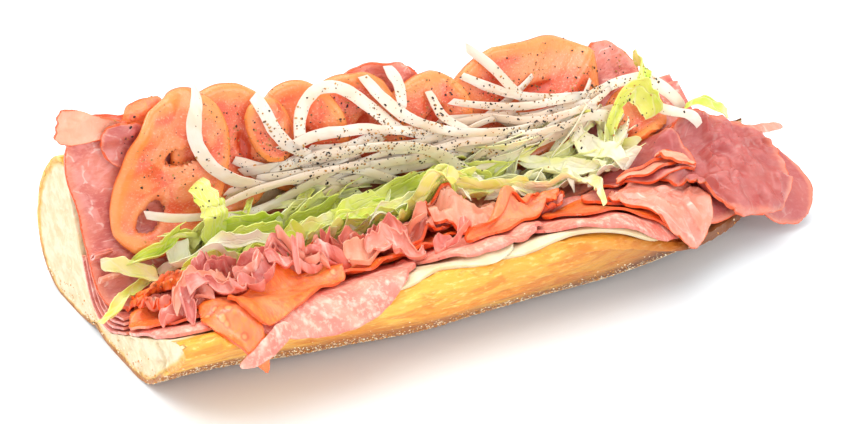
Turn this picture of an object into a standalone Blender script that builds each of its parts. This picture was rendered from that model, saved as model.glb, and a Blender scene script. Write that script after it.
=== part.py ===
"""An opened Italian hoagie: a hinged roll, cut straight across at one end, with its fillings lying in the V.

The fillings are laid on a guide surface that follows the cut faces of the roll. A place on it is given by x, the
distance along the roll, by u, the distance across it from the trough (front negative, back positive), and by h, the
height above the bread. Each slice settles on what is under it, as a real one does. Lengths are in millimetres until
the vertices are written in metres.
"""
import math
import random

import bmesh
import bpy
import numpy as np
from mathutils import Vector, noise

MM = 0.001

# The roll
CUT_X = -135.0
CUT_SLANT = math.tan(math.radians(8))
HINGE_Y = 20.0
TIP_X = 156.0
TAPER_START = 50.0
TAPER_CENTRE_Y = 8.0
CUT_END_FOOT_SHIFT = 13.0
BREAD_STATIONS = 24
TROUGH_RADIUS = 14.0
BREAD_RIM_ARC = 14.0
BREAD_RIM_U = -78.0
FRONT_TILT = -28.0
BACK_TILT = 79.0
SIDE_TILT = 116.0
FILLING_ROOM = 1.5
BREAD_WALL = 3.0

# The guide surface at each x: the tilts of the front slope, of the back slope and of the front side below the rim,
# the u of the rim, the length of the trough's arc, and the trough's own y and z.
GUIDE_STATIONS = np.array((
    (-165.0, -28.0, 79.0, 102.0, -79.0, 38.0, 14.0, 13.0),
    (20.0, -28.0, 79.0, 102.0, -79.0, 38.0, 14.0, 13.0),
    (55.0, -27.0, 78.0, 102.0, -78.0, 38.0, 13.8, 13.6),
    (78.0, -12.0, 66.0, 100.0, -69.0, 38.0, 12.0, 23.0),
    (100.0, 9.0, 48.0, 98.0, -58.0, 36.0, 8.5, 37.0),
    (125.0, 24.0, 32.0, 92.0, -50.0, 32.0, 6.0, 44.0),
    (150.0, 27.0, 21.0, 80.0, -42.0, 30.0, 4.0, 36.0),
    (175.0, 28.0, 10.0, 70.0, -36.0, 30.0, 2.0, 25.0),
    (215.0, 30.0, 0.0, 60.0, -34.0, 30.0, 0.0, 8.0),
))
GUIDE_X = np.arange(-164.0, 215.0, 2.0)
GUIDE_U = np.arange(-130.0, 131.0)
RIM_ARC = 20.0
RISE_ARC = 110.0
BEND_WORTH = 9.0
GAP = 0.35

# The raster that keeps the height of the pile
CELL = 2.0
PILE_X = np.arange(-164.0, 214.0, CELL)
PILE_U = np.arange(-128.0, 129.0, CELL)
SETTLE_ROUNDS = 40
SETTLE_SHARE = 0.8
SETTLED = 0.03
SETTLE_SAMPLES = 5
COVER_SAMPLES = 9
NOT_CROSSED = 1e6
SCRAP_CORNERS = 24

# Slices: how thick each kind is, and the two that the knife missed
THICKNESS = {"provolone": 1.8, "salami": 1.2, "hot_capicola": 1.2, "ham": 1.5, "tomato": 4.5}
UNCUT = ("ham_back_left", "tomato_1")


def clear_scene():
    for obj in list(bpy.data.objects):
        bpy.data.objects.remove(obj, do_unlink=True)


def ease(start, end, value):
    t = np.clip((value - start) / (end - start), 0.0, 1.0)
    return t * t * (3 - 2 * t)


# The guide surface

def guide_values(x):
    """The guide's seven numbers at x, on a smooth curve through the stations."""
    at, values = GUIDE_STATIONS[:, 0], GUIDE_STATIONS[:, 1:]
    last = len(at) - 1
    i = min(int(np.searchsorted(at, x, side="right")) - 1, last - 1)
    span = at[i + 1] - at[i]
    t = (x - at[i]) / span
    slopes = []
    for k in (i, i + 1):
        before, after = max(k - 1, 0), min(k + 1, last)
        slopes.append((values[after] - values[before]) / (at[after] - at[before]))
    return (
        values[i] * (2 * t**3 - 3 * t**2 + 1)
        + slopes[0] * span * (t**3 - 2 * t**2 + t)
        + values[i + 1] * (3 * t**2 - 2 * t**3)
        + slopes[1] * span * (t**3 - t**2)
    )


def turned_line(front, back, side, rim_u, arc, trough_y, trough_z, rim_arc=RIM_ARC):
    """A line across the roll, drawn by its turning angle: y, z, that angle, and the angle that heights stand across.

    Heights turn more slowly than the line does in the trough, so that they do not meet above it.
    """
    past_rim = np.clip((GUIDE_U - rim_u + rim_arc / 2) / rim_arc, 0, 1)
    slope = side + (front - side) * past_rim
    angle = np.radians(slope + (back - front) * np.clip(GUIDE_U / arc + 0.5, 0, 1))
    rise = np.radians(slope + (back - front) * np.clip(GUIDE_U / RISE_ARC + 0.5, 0, 1))
    middle = len(GUIDE_U) // 2
    across = np.concatenate([[0], np.cumsum((np.cos(angle)[1:] + np.cos(angle)[:-1]) / 2)])
    up = np.concatenate([[0], np.cumsum((np.sin(angle)[1:] + np.sin(angle)[:-1]) / 2)])
    return across - across[middle] + trough_y, up - up[middle] + trough_z, angle, rise


GUIDE = np.array([turned_line(*guide_values(x)) for x in GUIDE_X])


def between(table, rows, columns, x, u):
    """The table's value at x and u, which may lie between its rows and columns."""
    i = np.clip((x - rows[0]) / (rows[1] - rows[0]), 0, len(rows) - 1.001)
    j = np.clip((u - columns[0]) / (columns[1] - columns[0]), 0, len(columns) - 1.001)
    a, b = i.astype(int), j.astype(int)
    s, t = i - a, j - b
    near = table[a, b] * (1 - t) + table[a, b + 1] * t
    far = table[a + 1, b] * (1 - t) + table[a + 1, b + 1] * t
    return near * (1 - s) + far * s


def slant(x):
    """The slices follow the slanted cut near it, and run straight further along."""
    return CUT_SLANT * (1 - ease(-120, 20, x))


def place(x, u, h):
    """The points in space of places on the guide surface."""
    x, u, h = (np.asarray(v, dtype=float) for v in (x, u, h))
    across, up, _, rise = (between(GUIDE[:, k], GUIDE_X, GUIDE_U, x, u) for k in range(4))
    y = across - np.sin(rise) * h
    z = up + np.cos(rise) * h
    return np.stack([x - slant(x) * (y - HINGE_Y), y, z], axis=-1)


def height_of(thick, x, u):
    """The height that gives a sheet its thickness, since heights do not stand square to the surface everywhere."""
    angle, rise = (between(GUIDE[:, k], GUIDE_X, GUIDE_U, x, u) for k in (2, 3))
    return thick / np.cos(rise - angle)


def locate(points):
    """The places on the guide surface of points in space."""
    flat = points.reshape(-1, 3)
    x = flat[:, 0].copy()
    for _ in range(4):
        x = flat[:, 0] + slant(x) * (flat[:, 1] - HINGE_Y)
    row = np.clip(np.rint((x - GUIDE_X[0]) / 2.0).astype(int), 0, len(GUIDE_X) - 1)
    dy = flat[:, 1, None] - GUIDE[row, 0]
    dz = flat[:, 2, None] - GUIDE[row, 1]
    cosine, sine = np.cos(GUIDE[row, 3]), np.sin(GUIDE[row, 3])
    aside = dy * cosine + dz * sine
    height = dz * cosine - dy * sine
    crosses = (aside[:, :-1] >= 0) & (aside[:, 1:] < 0)
    cost = np.where(crosses, np.abs(height[:, :-1]), NOT_CROSSED)
    found = np.argmin(cost, axis=1)
    every = np.arange(len(flat))
    before, after = aside[every, found], aside[every, found + 1]
    share = np.where(cost[every, found] < NOT_CROSSED, before / np.maximum(before - after, 1e-9), 0.0)
    u = GUIDE_U[found] + share
    h = height[every, found] * (1 - share) + height[every, found + 1] * share
    return x.reshape(points.shape[:-1]), u.reshape(points.shape[:-1]), h.reshape(points.shape[:-1])


# The pile and the sheets that settle on it

class Pile:
    """The height of the fillings over the guide surface."""

    def __init__(self):
        self.top = np.zeros((len(PILE_X), len(PILE_U)))

    def read(self, x, u):
        return between(self.top, PILE_X, PILE_U, x, u)

    def cover(self, x, u, h):
        """Raises the pile to h at these places, and a cell further out."""
        i = np.rint((x.ravel() - PILE_X[0]) / CELL).astype(int)
        j = np.rint((u.ravel() - PILE_U[0]) / CELL).astype(int)
        inside = (i > 0) & (i < len(PILE_X) - 1) & (j > 0) & (j < len(PILE_U) - 1)
        for di in (-1, 0, 1):
            for dj in (-1, 0, 1):
                np.maximum.at(self.top, (i[inside] + di, j[inside] + dj), h.ravel()[inside])


PILE = Pile()


def triangle_weights(steps):
    """Weights of the three corners at places spread over a triangle."""
    found = []
    for a in range(steps + 1):
        for b in range(steps + 1 - a):
            found.append((a / steps, b / steps, (steps - a - b) / steps))
    return np.array(found)


def settle(x, u, h, triangles, pile):
    """Raises the corners of a sheet until no place of its triangles is in the pile."""
    weights = triangle_weights(SETTLE_SAMPLES)
    share = weights / (weights**2).sum(axis=1, keepdims=True)
    h = h.copy()
    for _ in range(SETTLE_ROUNDS):
        corners = place(x, u, h)[triangles]
        sx, su, sh = locate(np.einsum("mk,tkd->tmd", weights, corners))
        lacking = pile.read(sx, su) + GAP - sh
        if lacking.max() < SETTLED:
            break
        push = np.maximum(lacking, 0)[:, :, None] * share[None]
        push = push.max(axis=1)
        lift = np.zeros_like(h)
        np.maximum.at(lift, triangles.ravel(), push.ravel())
        h += SETTLE_SHARE * lift
    return h


def cover_with(pile, x, u, h, triangles):
    corners = place(x, u, h)[triangles]
    pile.cover(*locate(np.einsum("mk,tkd->tmd", triangle_weights(COVER_SAMPLES), corners)))


class Sheet:
    """A thin body on the guide surface. Its corners are a grid of rows and columns of x and u."""

    def __init__(self, x, u, lift, thick, arch=0.0):
        self.shape = x.shape
        self.x, self.u, self.lift = x.ravel(), u.ravel(), lift.ravel()
        self.arch = np.broadcast_to(arch, x.shape).ravel()
        self.thick = height_of(np.broadcast_to(thick, x.shape).ravel(), self.x, self.u)

    def lay(self, pile, cover=True, knife=True):
        """The settled body, as a mesh."""
        rows, columns = self.shape
        mesh = bmesh.new()
        bmesh.ops.create_grid(mesh, x_segments=rows - 1, y_segments=columns - 1, size=1.0)
        bmesh.ops.triangulate(mesh, faces=list(mesh.faces), quad_method="FIXED")
        index = {v: self.corner(v) for v in mesh.verts}
        triangles = np.array([[index[v] for v in face.verts] for face in mesh.faces])
        low = settle(self.x, self.u, self.lift + GAP, triangles, pile) + self.arch
        if cover:
            cover_with(pile, self.x, self.u, low + self.thick, triangles)
        raised = bmesh.ops.extrude_face_region(mesh, geom=list(mesh.faces))["geom"]
        upper = {v: self.corner(v) for v in raised if isinstance(v, bmesh.types.BMVert)}
        below, above = place(self.x, self.u, low), place(self.x, self.u, low + self.thick)
        for vert, k in index.items():
            vert.co = Vector(below[k]) * MM
        for vert, k in upper.items():
            vert.co = Vector(above[k]) * MM
        if knife:
            cut_across(mesh)
        return mesh

    def corner(self, vert):
        rows, columns = self.shape
        return round((vert.co.x + 1) / 2 * (rows - 1)) * columns + round((vert.co.y + 1) / 2 * (columns - 1))


def edge_wobble(direction, seed, amount):
    """How far an edge stands out from an even oval in each direction."""
    found = np.empty_like(direction)
    for index, angle in np.ndenumerate(direction):
        spot = Vector((math.cos(angle) * 1.3, math.sin(angle) * 1.3, seed * 7.31))
        found[index] = 1 + amount * (noise.noise(spot) + 0.5 * noise.noise(spot * 2.7))
    return found


def spaced(middle, half, count):
    """Grid lines across a slice, from -1 to 1, closer together where the guide surface bends."""
    u = np.linspace(middle - half, middle + half, 200)
    angle = between(GUIDE[:, 2], GUIDE_X, GUIDE_U, np.zeros_like(u), u)
    turned = np.concatenate([[0], np.cumsum(np.abs(np.diff(angle)))])
    cost = u - u[0] + BEND_WORTH * turned
    return np.interp(np.linspace(0, cost[-1], count + 1), cost, (u - middle) / half)


def oval(centre, half, thick, turn=0.0, grid=7, edge=0.1, ruffle=0.0, waves=(0, 0), corner=0.0, seed=1):
    """A slice: an oval sheet with an uneven edge. It may be ruffled, and its four corners may stand out."""
    a, b = np.meshgrid(np.linspace(-1, 1, grid + 1), spaced(centre[1], half[1], grid), indexing="ij")
    s, t = a * np.sqrt(1 - b * b / 2), b * np.sqrt(1 - a * a / 2)
    out = edge_wobble(np.arctan2(t, s), seed, edge) * (1 + corner * 4 * s * s * t * t)
    c, n = math.cos(math.radians(turn)), math.sin(math.radians(turn))
    dx, du = s * half[0] * out, t * half[1] * out
    x, u = centre[0] + dx * c - du * n, centre[1] + dx * n + du * c
    wave = 0.5 + 0.5 * np.sin(math.pi * (waves[0] * s + waves[1] * t) + seed)
    return Sheet(x, u, ruffle * wave, thick)


def strip(path, width, thick, arch=0.0, steps=5, tail=0.35):
    """A shred or an arc of onion along a path of (x, u) places. It rises between its two ends and narrows at them."""
    path = np.array(path, dtype=float)
    along = np.concatenate([[0], np.cumsum(np.linalg.norm(np.diff(path, axis=0), axis=1))])
    at = np.linspace(0, along[-1], steps + 1)
    middle = np.stack([np.interp(at, along, path[:, k]) for k in (0, 1)], axis=1)
    for _ in range(2):
        middle[1:-1] = (middle[:-2] + 2 * middle[1:-1] + middle[2:]) / 4
    run = np.gradient(middle, axis=0)
    run /= np.linalg.norm(run, axis=1, keepdims=True)
    side = np.stack([-run[:, 1], run[:, 0]], axis=1)
    share = np.linspace(0, 1, steps + 1)
    half = width / 2 * (tail + (1 - tail) * np.minimum(1, np.minimum(share, 1 - share) * 5))
    x = np.stack([middle[:, 0] + side[:, 0] * half * k for k in (-1, 1)], axis=1)
    u = np.stack([middle[:, 1] + side[:, 1] * half * k for k in (-1, 1)], axis=1)
    rise = np.repeat(arch * np.sqrt(np.sin(math.pi * share))[:, None], 2, axis=1)
    return Sheet(x, u, np.zeros_like(x), thick, rise)


def cut_across(mesh):
    """The knife that cuts the sandwich: what lies past the slanted cut is taken off, and the cut is closed."""
    normal = Vector((-1.0, -CUT_SLANT, 0.0)).normalized()
    point = Vector((CUT_X, HINGE_Y, 0.0)) * MM
    everything = list(mesh.verts) + list(mesh.edges) + list(mesh.faces)
    bmesh.ops.bisect_plane(mesh, geom=everything, dist=1e-6, plane_co=point, plane_no=normal, clear_outer=True)
    open_edges = [e for e in mesh.edges if e.is_boundary]
    if open_edges:
        bmesh.ops.holes_fill(mesh, edges=open_edges, sides=0)


def make_object(name, mesh, finish):
    bmesh.ops.triangulate(mesh, faces=list(mesh.faces))
    bmesh.ops.recalc_face_normals(mesh, faces=list(mesh.faces))
    data = bpy.data.meshes.new(name)
    mesh.to_mesh(data)
    mesh.free()
    if finish:
        data.materials.append(finish)
    data.shade_smooth()
    made = bpy.data.objects.new(name, data)
    bpy.context.scene.collection.objects.link(made)
    return made


def fuse(core, pieces):
    """One closed body from a core and the pieces that lie on it."""
    group = bpy.data.collections.new("pieces")
    bpy.context.scene.collection.children.link(group)
    for piece in pieces:
        bpy.context.scene.collection.objects.unlink(piece)
        group.objects.link(piece)
    union = core.modifiers.new("union", "BOOLEAN")
    union.operation = "UNION"
    union.operand_type = "COLLECTION"
    union.collection = group
    union.solver = "EXACT"
    evaluated = core.evaluated_get(bpy.context.evaluated_depsgraph_get())
    fused = bpy.data.meshes.new_from_object(evaluated)
    core.modifiers.clear()
    core.data = fused
    for piece in pieces:
        bpy.data.objects.remove(piece, do_unlink=True)
    bpy.data.collections.remove(group)
    drop_scraps(core.data)


def drop_scraps(data):
    """Drops the small loose bodies and fills the sealed hollows that a union can leave."""
    mesh = bmesh.new()
    mesh.from_mesh(data)
    found, groups = set(), []
    for vert in mesh.verts:
        if vert in found:
            continue
        group, waiting = [], [vert]
        found.add(vert)
        while waiting:
            current = waiting.pop()
            group.append(current)
            near = {edge.other_vert(current) for edge in current.link_edges} - found
            found |= near
            waiting.extend(near)
        groups.append(group)
    groups.sort(key=len)
    scraps = [vert for group in groups[:-1] if len(group) <= SCRAP_CORNERS for vert in group]
    bmesh.ops.delete(mesh, geom=scraps, context="VERTS")
    mesh.to_mesh(data)
    mesh.free()


# The roll itself: outside of the bread from the back rim round the back half, under the hinge and up the front side.
BREAD_OUTSIDE = (
    (35.5, 76.3), (42, 73.0), (50.5, 65), (59, 53.5), (65, 40), (68, 27), (67, 14), (61.5, 4.5), (52, 0.0),
    (38, 0.0), (28, 1.0), (20.5, 3.6), (13.5, 0.8), (5, 0.0), (-12, 0.0), (-27, 0.0), (-39, 4.5), (-49, 14.5),
    (-56, 26), (-59, 35.5),
)
# How high the back half stands at each x.
BACK_HEIGHT = ((-150, -40, 0, 30, 70, 100, 130, 156), (72, 72, 68, 61, 57, 48, 28, 16))
BREAD_INSIDE_U = (-84, -80, -74, -62, -46, -30, -17, -12, -6, 0, 6, 12, 17, 30, 46, 62, 67)


def bread_trough():
    """The line of the inner faces: the guide's slopes, joined by the roll's tighter trough."""
    turn = math.radians(BACK_TILT - FRONT_TILT)
    values = guide_values(0.0)
    guide_radius = values[4] / turn
    lower = (guide_radius - TROUGH_RADIUS) * (1 / math.cos(turn / 2) - 1)
    longer = (guide_radius - TROUGH_RADIUS) * (math.tan(turn / 2) - turn / 2)
    across = math.radians((BACK_TILT + FRONT_TILT) / 2 + 90)
    return turned_line(
        FRONT_TILT, BACK_TILT, SIDE_TILT, BREAD_RIM_U - longer, TROUGH_RADIUS * turn,
        values[5] - math.cos(across) * lower, values[6] - math.sin(across) * lower, BREAD_RIM_ARC,
    )


INSIDE_LINE = bread_trough()


def bread_section(x):
    """The bread's outline at x, as (y, z) round it, pressed down to stay under the fillings."""
    ring = []
    for u in BREAD_INSIDE_U:
        y, z, turn = (float(np.interp(u, GUIDE_U, line)) for line in INSIDE_LINE[:3])
        ring.append((y + math.sin(turn) * GAP, z - math.cos(turn) * GAP))
    near_cut = 1 - ease(CUT_X, -20, x)
    for y, z in BREAD_OUTSIDE:
        low_front = (1 - ease(-30, 5, y)) * (1 - ease(8, 40, z))
        ring.append((y + CUT_END_FOOT_SHIFT * near_cut * low_front, z))
    run = max(0.0, (x - TAPER_START) / (TIP_X - TAPER_START))
    size = math.sqrt(max(1 - run * run, 0.0))
    tip_z = 16.0 * (1 - size) ** 2
    values = guide_values(x)
    across, up = turned_line(*values)[:2]
    outer = GUIDE_U > values[3]
    shaped = []
    back_size = float(np.interp(x, *BACK_HEIGHT)) / BREAD_OUTSIDE[0][1]
    for k, (y, z) in enumerate(ring):
        back = ease(8, 26, y)
        room = FILLING_ROOM + (BREAD_WALL if k >= len(BREAD_INSIDE_U) and y < 0 else 0.0)
        y = TAPER_CENTRE_Y + (y - TAPER_CENTRE_Y) * size
        z = z * (size * (1 - back) + back_size * back) + tip_z
        if x > TAPER_START - 20:
            z = min(z, float(np.interp(y, across[outer], up[outer])) - GAP - room * ease(20, 60, x))
        shaped.append((y, z))
    return shaped


def make_bread(finish):
    """The roll as a tube of sections along x, closed at its tip and cut by the knife at the other end."""
    around = len(BREAD_INSIDE_U) + len(BREAD_OUTSIDE)
    start_x = CUT_X - 24.0
    end_x = TIP_X - 0.5
    mesh = bmesh.new()
    bmesh.ops.create_grid(mesh, x_segments=BREAD_STATIONS, y_segments=around, size=1.0)
    sections = {}
    for vert in mesh.verts:
        along = (vert.co.x + 1) / 2
        index = round((vert.co.y + 1) / 2 * around) % around
        x = start_x + (end_x - start_x) * (0.45 * along + 0.55 * math.sin(along * math.pi / 2))
        key = round(x, 3)
        if key not in sections:
            sections[key] = bread_section(x)
        vert.co = Vector((x, *sections[key][index])) * MM
    bmesh.ops.remove_doubles(mesh, verts=list(mesh.verts), dist=1e-6)
    bmesh.ops.holes_fill(mesh, edges=[e for e in mesh.edges if e.is_boundary], sides=0)
    cut_across(mesh)
    return make_object("bread", mesh, finish)


def bread_floor():
    """How high the bread's inner face lies against the guide surface, over the pile's raster."""
    rows = []
    for x in PILE_X:
        if x > TIP_X - 3:
            rows.append(np.full(len(PILE_U), -40.0))
            continue
        ring = np.array(bread_section(x)[:len(BREAD_INSIDE_U) + 2])
        fine = np.linspace(0, len(ring) - 1, 6 * len(ring))
        y, z = (np.interp(fine, np.arange(len(ring)), ring[:, k]) for k in (0, 1))
        _, u, h = locate(np.stack([x - slant(x) * (y - HINGE_Y), y, z], axis=-1))
        order = np.argsort(u)
        rows.append(np.interp(PILE_U, u[order], h[order]))
    return np.array(rows)


def make_folded_ham(finish):
    """Bunched ham that fills the trough of the roll from end to end."""
    floor = Pile()
    floor.top = bread_floor()
    rows, columns = 18, 7
    x, u = np.meshgrid(np.linspace(CUT_X - 12, 122, rows), np.linspace(-26, 26, columns), indexing="ij")
    u = u * (1 - 0.3 * ease(60, 120, x))
    low = floor.read(x, u) + GAP
    fold = 0.5 + 0.5 * np.sin(x * 0.21 + u * 0.3)
    fullness = 1 - (u / 27) ** 2
    high = 0.6 + fullness * (1.2 + 1.6 * fold) * (1 - 0.5 * ease(60, 120, x))
    thick = np.maximum(high - low, 1.0)
    sheet = Sheet(x, u, low - GAP, 1.0)
    sheet.thick = thick.ravel()
    mesh = sheet.lay(floor)
    PILE.top = np.maximum(floor.top, PILE.top)
    return make_object("ham_folded", mesh, finish)


# Slices in the order that they are laid: name, kind, centre (x, u), half sizes, and what else shapes each.
LOWER_SLICES = (
    ("cheese_left", "provolone", (-96, -46), (37, 27), {"grid": 6, "edge": 0.03, "seed": 1}),
    ("cheese_right", "provolone", (34, -50), (40, 26), {"edge": 0.03, "seed": 2}),
    ("cheese_middle", "provolone", (-26, -50), (31, 27), {"grid": 6, "edge": 0.03, "seed": 3}),
    ("salami_left", "salami", (-112, -42), (26, 30), {"grid": 6, "edge": 0.05, "seed": 4}),
    ("salami_right", "salami", (54, -47), (38, 26), {"edge": 0.05, "seed": 6}),
    ("salami_middle", "salami", (4, -48), (27, 24), {"grid": 6, "edge": 0.05, "seed": 7}),
    ("salami_front", "salami", (-72, -60), (44, 25), {"grid": 9, "turn": 6, "edge": 0.05, "seed": 8}),
    ("capicola_left", "hot_capicola", (-110, -34), (28, 28), {"grid": 6, "seed": 9}),
    ("capicola_back", "hot_capicola", (-98, 38), (28, 38), {"grid": 6, "seed": 10}),
    ("capicola_right", "hot_capicola", (70, -48), (32, 20), {"grid": 6, "seed": 11}),
    ("capicola_band", "hot_capicola", (-38, -38), (48, 18), {"turn": 14, "ruffle": 1, "waves": (3, 1), "seed": 12}),
    ("capicola_drape", "hot_capicola", (-121, -72), (9, 25), {"grid": 9, "turn": 12, "ruffle": 1, "waves": (1, 0),
                                                             "seed": 13}),
    ("ham_back_left", "ham", (-111, 34), (25, 42), {"grid": 8, "edge": 0.06, "corner": 0.32, "ruffle": 1,
                                                    "waves": (1, 1), "seed": 14}),
    ("ham_back_middle", "ham", (-9, 56), (24, 20), {"grid": 6, "edge": 0.15, "ruffle": 1, "waves": (2, 1), "seed": 15}),
    ("ham_front_left", "ham", (-94, -32), (34, 22), {"edge": 0.2, "ruffle": 2, "waves": (2, 1), "seed": 16}),
    ("ham_front_middle", "ham", (-30, -22), (36, 22), {"edge": 0.2, "ruffle": 2, "waves": (2, 1), "seed": 17}),
    ("ham_front_right", "ham", (28, -18), (30, 22), {"edge": 0.15, "ruffle": 2, "waves": (2, 1), "seed": 18}),
    ("capicola_fold", "hot_capicola", (24, -42), (36, 11), {"turn": 38, "seed": 29}),
    ("ham_back_right", "ham", (88, 24), (22, 21), {"grid": 6, "edge": 0.08, "seed": 19}),
    ("ham_end", "ham", (142, -34), (23, 21), {"grid": 6, "edge": 0.08, "seed": 20}),
)
UPPER_SLICES = (
    ("ham_right", "ham", (106, -33), (47, 23), {"grid": 9, "turn": 12, "edge": 0.06, "corner": 0.1, "seed": 21}),
    ("tomato_8", "tomato", (98, 4), (12, 13), {"grid": 5, "edge": 0.04, "seed": 28}),
    ("tomato_7", "tomato", (57, 40), (37, 27), {"turn": -30, "edge": 0.03, "seed": 27}),
    ("tomato_6", "tomato", (10, 44), (20, 23), {"grid": 6, "edge": 0.04, "seed": 26}),
    ("tomato_5", "tomato", (-22, 50), (20, 24), {"grid": 6, "edge": 0.04, "seed": 25}),
    ("tomato_4", "tomato", (-44, 52), (17, 23), {"grid": 6, "edge": 0.04, "seed": 24}),
    ("tomato_2", "tomato", (-75, 53), (21, 28), {"grid": 6, "turn": -10, "edge": 0.04, "seed": 22}),
    ("tomato_3", "tomato", (-57, 60), (8, 13), {"grid": 4, "turn": 15, "edge": 0.04, "seed": 23}),
    ("tomato_1", "tomato", (-99, 47), (20.5, 37), {"turn": -24, "edge": 0.02, "seed": 21}),
)
HAM_TIP = ((140, -11), (150, -10), (160, -6), (169, -3))


def lay_slices(rows, finishes):
    for name, kind, centre, half, more in rows:
        sheet = oval(centre, half, THICKNESS[kind], **more)
        make_object(name, sheet.lay(PILE, knife=name not in UNCUT), finishes[kind])


def make_ham_tip(finish):
    """A torn end of ham that reaches past the rest at the right."""
    sheet = strip(HAM_TIP, 7.0, THICKNESS["ham"], tail=0.2)
    make_object("ham_tip", sheet.lay(PILE), finish)


# Strips of lettuce: width, lift at each end, and the path of (x, u) places that each lies along.
LETTUCE_SHOWN = (
    (5, 0, ((-137, -4), (-133, -1), (-125, 3), (-100, 10))),
    (12, 6, ((-91, 4), (-92, 24), (-93, 46))),
    (9, 3, ((-104, 14), (-106, -4), (-98, -14), (-86, -10))),
    (8, 3, ((-122, 12), (-112, 10), (-103, 22))),
    (10, 4, ((-87, 13), (-74, 12), (-60, 10))),
    (6, 3, ((-84, -14), (-73, -4), (-63, 8), (-55, 18))),
    (9, 4, ((-57, 4), (-48, 17), (-40, 25))),
    (12, 4, ((-42, -6), (-32, 3), (-16, 10), (4, 17))),
    (7, 4, ((-8, 6), (3, 3), (18, 1))),
    (7, 4, ((28, 26), (40, 18), (58, 20))),
    (6, 3, ((48, 12), (63, 0), (74, -16))),
    (8, 6, ((86, 4), (91, 12), (98, 11), (102, -4))),
    (7, 3, ((71, 12), (76, -2), (82, -22))),
    (4, 3, ((64, -6), (68, -26), (64, -44))),
    (6, 3, ((92, 8), (106, 15), (115, 27))),
    (7, 1, ((92, 2), (104, -3), (120, -6), (133, -7), (141, -3))),
)
LETTUCE_MORE = 4
ONION_SHOWN = (
    (6.5, 3, ((-82, 85), (-88, 78), (-91, 67), (-86, 54), (-77, 42), (-62, 34))),
    (5, 3, ((-61, 75), (-60, 64), (-53, 54), (-44, 46))),
    (5, 3, ((-50, 50), (-47, 65), (-38, 75), (-27, 73), (-15, 60), (-4, 47))),
    (5, 3, ((-17, 74), (-10, 62), (4, 49), (18, 39), (40, 33), (60, 30))),
    (4, 3, ((-112, 35), (-97, 26), (-80, 22), (-60, 24), (-34, 35))),
    (4, 3, ((-88, 29), (-70, 34), (-45, 36), (-22, 35))),
    (5, 3, ((-52, 45), (-36, 47), (-8, 41), (8, 31), (22, 14), (27, -3))),
    (5, 3, ((-57, 54), (-40, 57), (-18, 54), (2, 46))),
    (4, 3, ((11, 61), (14, 49), (24, 38))),
    (4, 3, ((33, 73), (40, 66), (50, 52), (56, 42))),
    (4, 3, ((28, 63), (42, 55), (60, 44), (80, 24))),
    (4, 3, ((20, 55), (40, 48), (62, 40), (78, 27))),
    (4, 3, ((37, 43), (56, 33), (70, 24), (84, 14))),
    (5, 3, ((78, 26), (94, 20), (107, 10), (117, -3))),
    (4, 3, ((96, 25), (88, 20), (76, 20))),
)


def make_heap(name, finish, core, rows, thick, steps):
    """A heap that is one body: a core that settles on the pile, with strips that run through it and rise from it."""
    bed = Pile()
    bed.top = PILE.top.copy()
    body = make_object(name, core.lay(PILE, knife=False), finish)
    pieces = []
    for width, arch, path in rows:
        mesh = strip(path, width, thick, arch, steps).lay(bed, cover=False, knife=False)
        pieces.append(make_object("strip", mesh, None))
    for piece in pieces:
        corners = np.array([v.co[:] for v in piece.data.vertices]) / MM
        faces = np.array([f.vertices[:] for f in piece.data.polygons])
        PILE.cover(*locate(np.einsum("mk,tkd->tmd", triangle_weights(6), corners[faces])))
    fuse(body, pieces)


def more_lettuce():
    """Further shreds, scattered along the heap."""
    scatter = random.Random(5)
    rows = []
    for k in range(LETTUCE_MORE):
        x = -100 + 190 * (k + 0.5) / LETTUCE_MORE + scatter.uniform(-5, 5)
        u = scatter.uniform(-14, 22)
        turn = scatter.uniform(0, math.pi)
        reach = scatter.uniform(8, 14)
        bend = scatter.uniform(-4, 4)
        dx, du = math.cos(turn) * reach, math.sin(turn) * reach
        path = ((x - dx, u - du), (x + bend, u + bend), (x + dx, u + du))
        rows.append((scatter.uniform(4, 8), scatter.uniform(4, 6), path))
    return tuple(rows)


def make_lettuce(finish):
    rows, columns = 16, 5
    x, across = np.meshgrid(np.linspace(-108, 98, rows), np.linspace(-1, 1, columns), indexing="ij")
    u = 6 + across * (24 - 6 * ease(50, 98, x)) - 6 * ease(60, 98, x)
    core = Sheet(x, u, np.zeros_like(x), 1.5 + 2.5 * (1 - across**2) * (0.7 + 0.3 * np.sin(x * 0.33 + u * 0.2)))
    make_heap("lettuce", finish, core, LETTUCE_SHOWN + more_lettuce(), 1.8, 4)


def make_onion(finish):
    rows, columns = 14, 4
    x, across = np.meshgrid(np.linspace(-66, 76, rows), np.linspace(-1, 1, columns), indexing="ij")
    u = 36 - 0.08 * x + across * 11 - 8 * ease(40, 76, x)
    core = Sheet(x, u, np.zeros_like(x), 1.6 + 0.8 * (1 - across**2))
    make_heap("onion", finish, core, ONION_SHOWN, 2.4, 6)


def make_finish(name, colour, roughness):
    made = bpy.data.materials.new(name)
    made.use_nodes = True
    shader = made.node_tree.nodes["Principled BSDF"]
    shader.inputs["Base Color"].default_value = (*colour, 1.0)
    shader.inputs["Roughness"].default_value = roughness
    return made


def make_finishes():
    """One plain finish for each kind of food."""
    return {
        "bread_crust": make_finish("bread_crust", (0.75, 0.42, 0.12), 0.6),
        "provolone": make_finish("provolone", (0.93, 0.88, 0.72), 0.45),
        "salami": make_finish("salami", (0.85, 0.42, 0.40), 0.4),
        "hot_capicola": make_finish("hot_capicola", (0.88, 0.30, 0.10), 0.4),
        "ham": make_finish("ham", (0.84, 0.45, 0.42), 0.4),
        "tomato": make_finish("tomato", (0.88, 0.32, 0.14), 0.3),
        "lettuce": make_finish("lettuce", (0.72, 0.80, 0.35), 0.4),
        "onion": make_finish("onion", (0.92, 0.88, 0.80), 0.35),
    }


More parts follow.
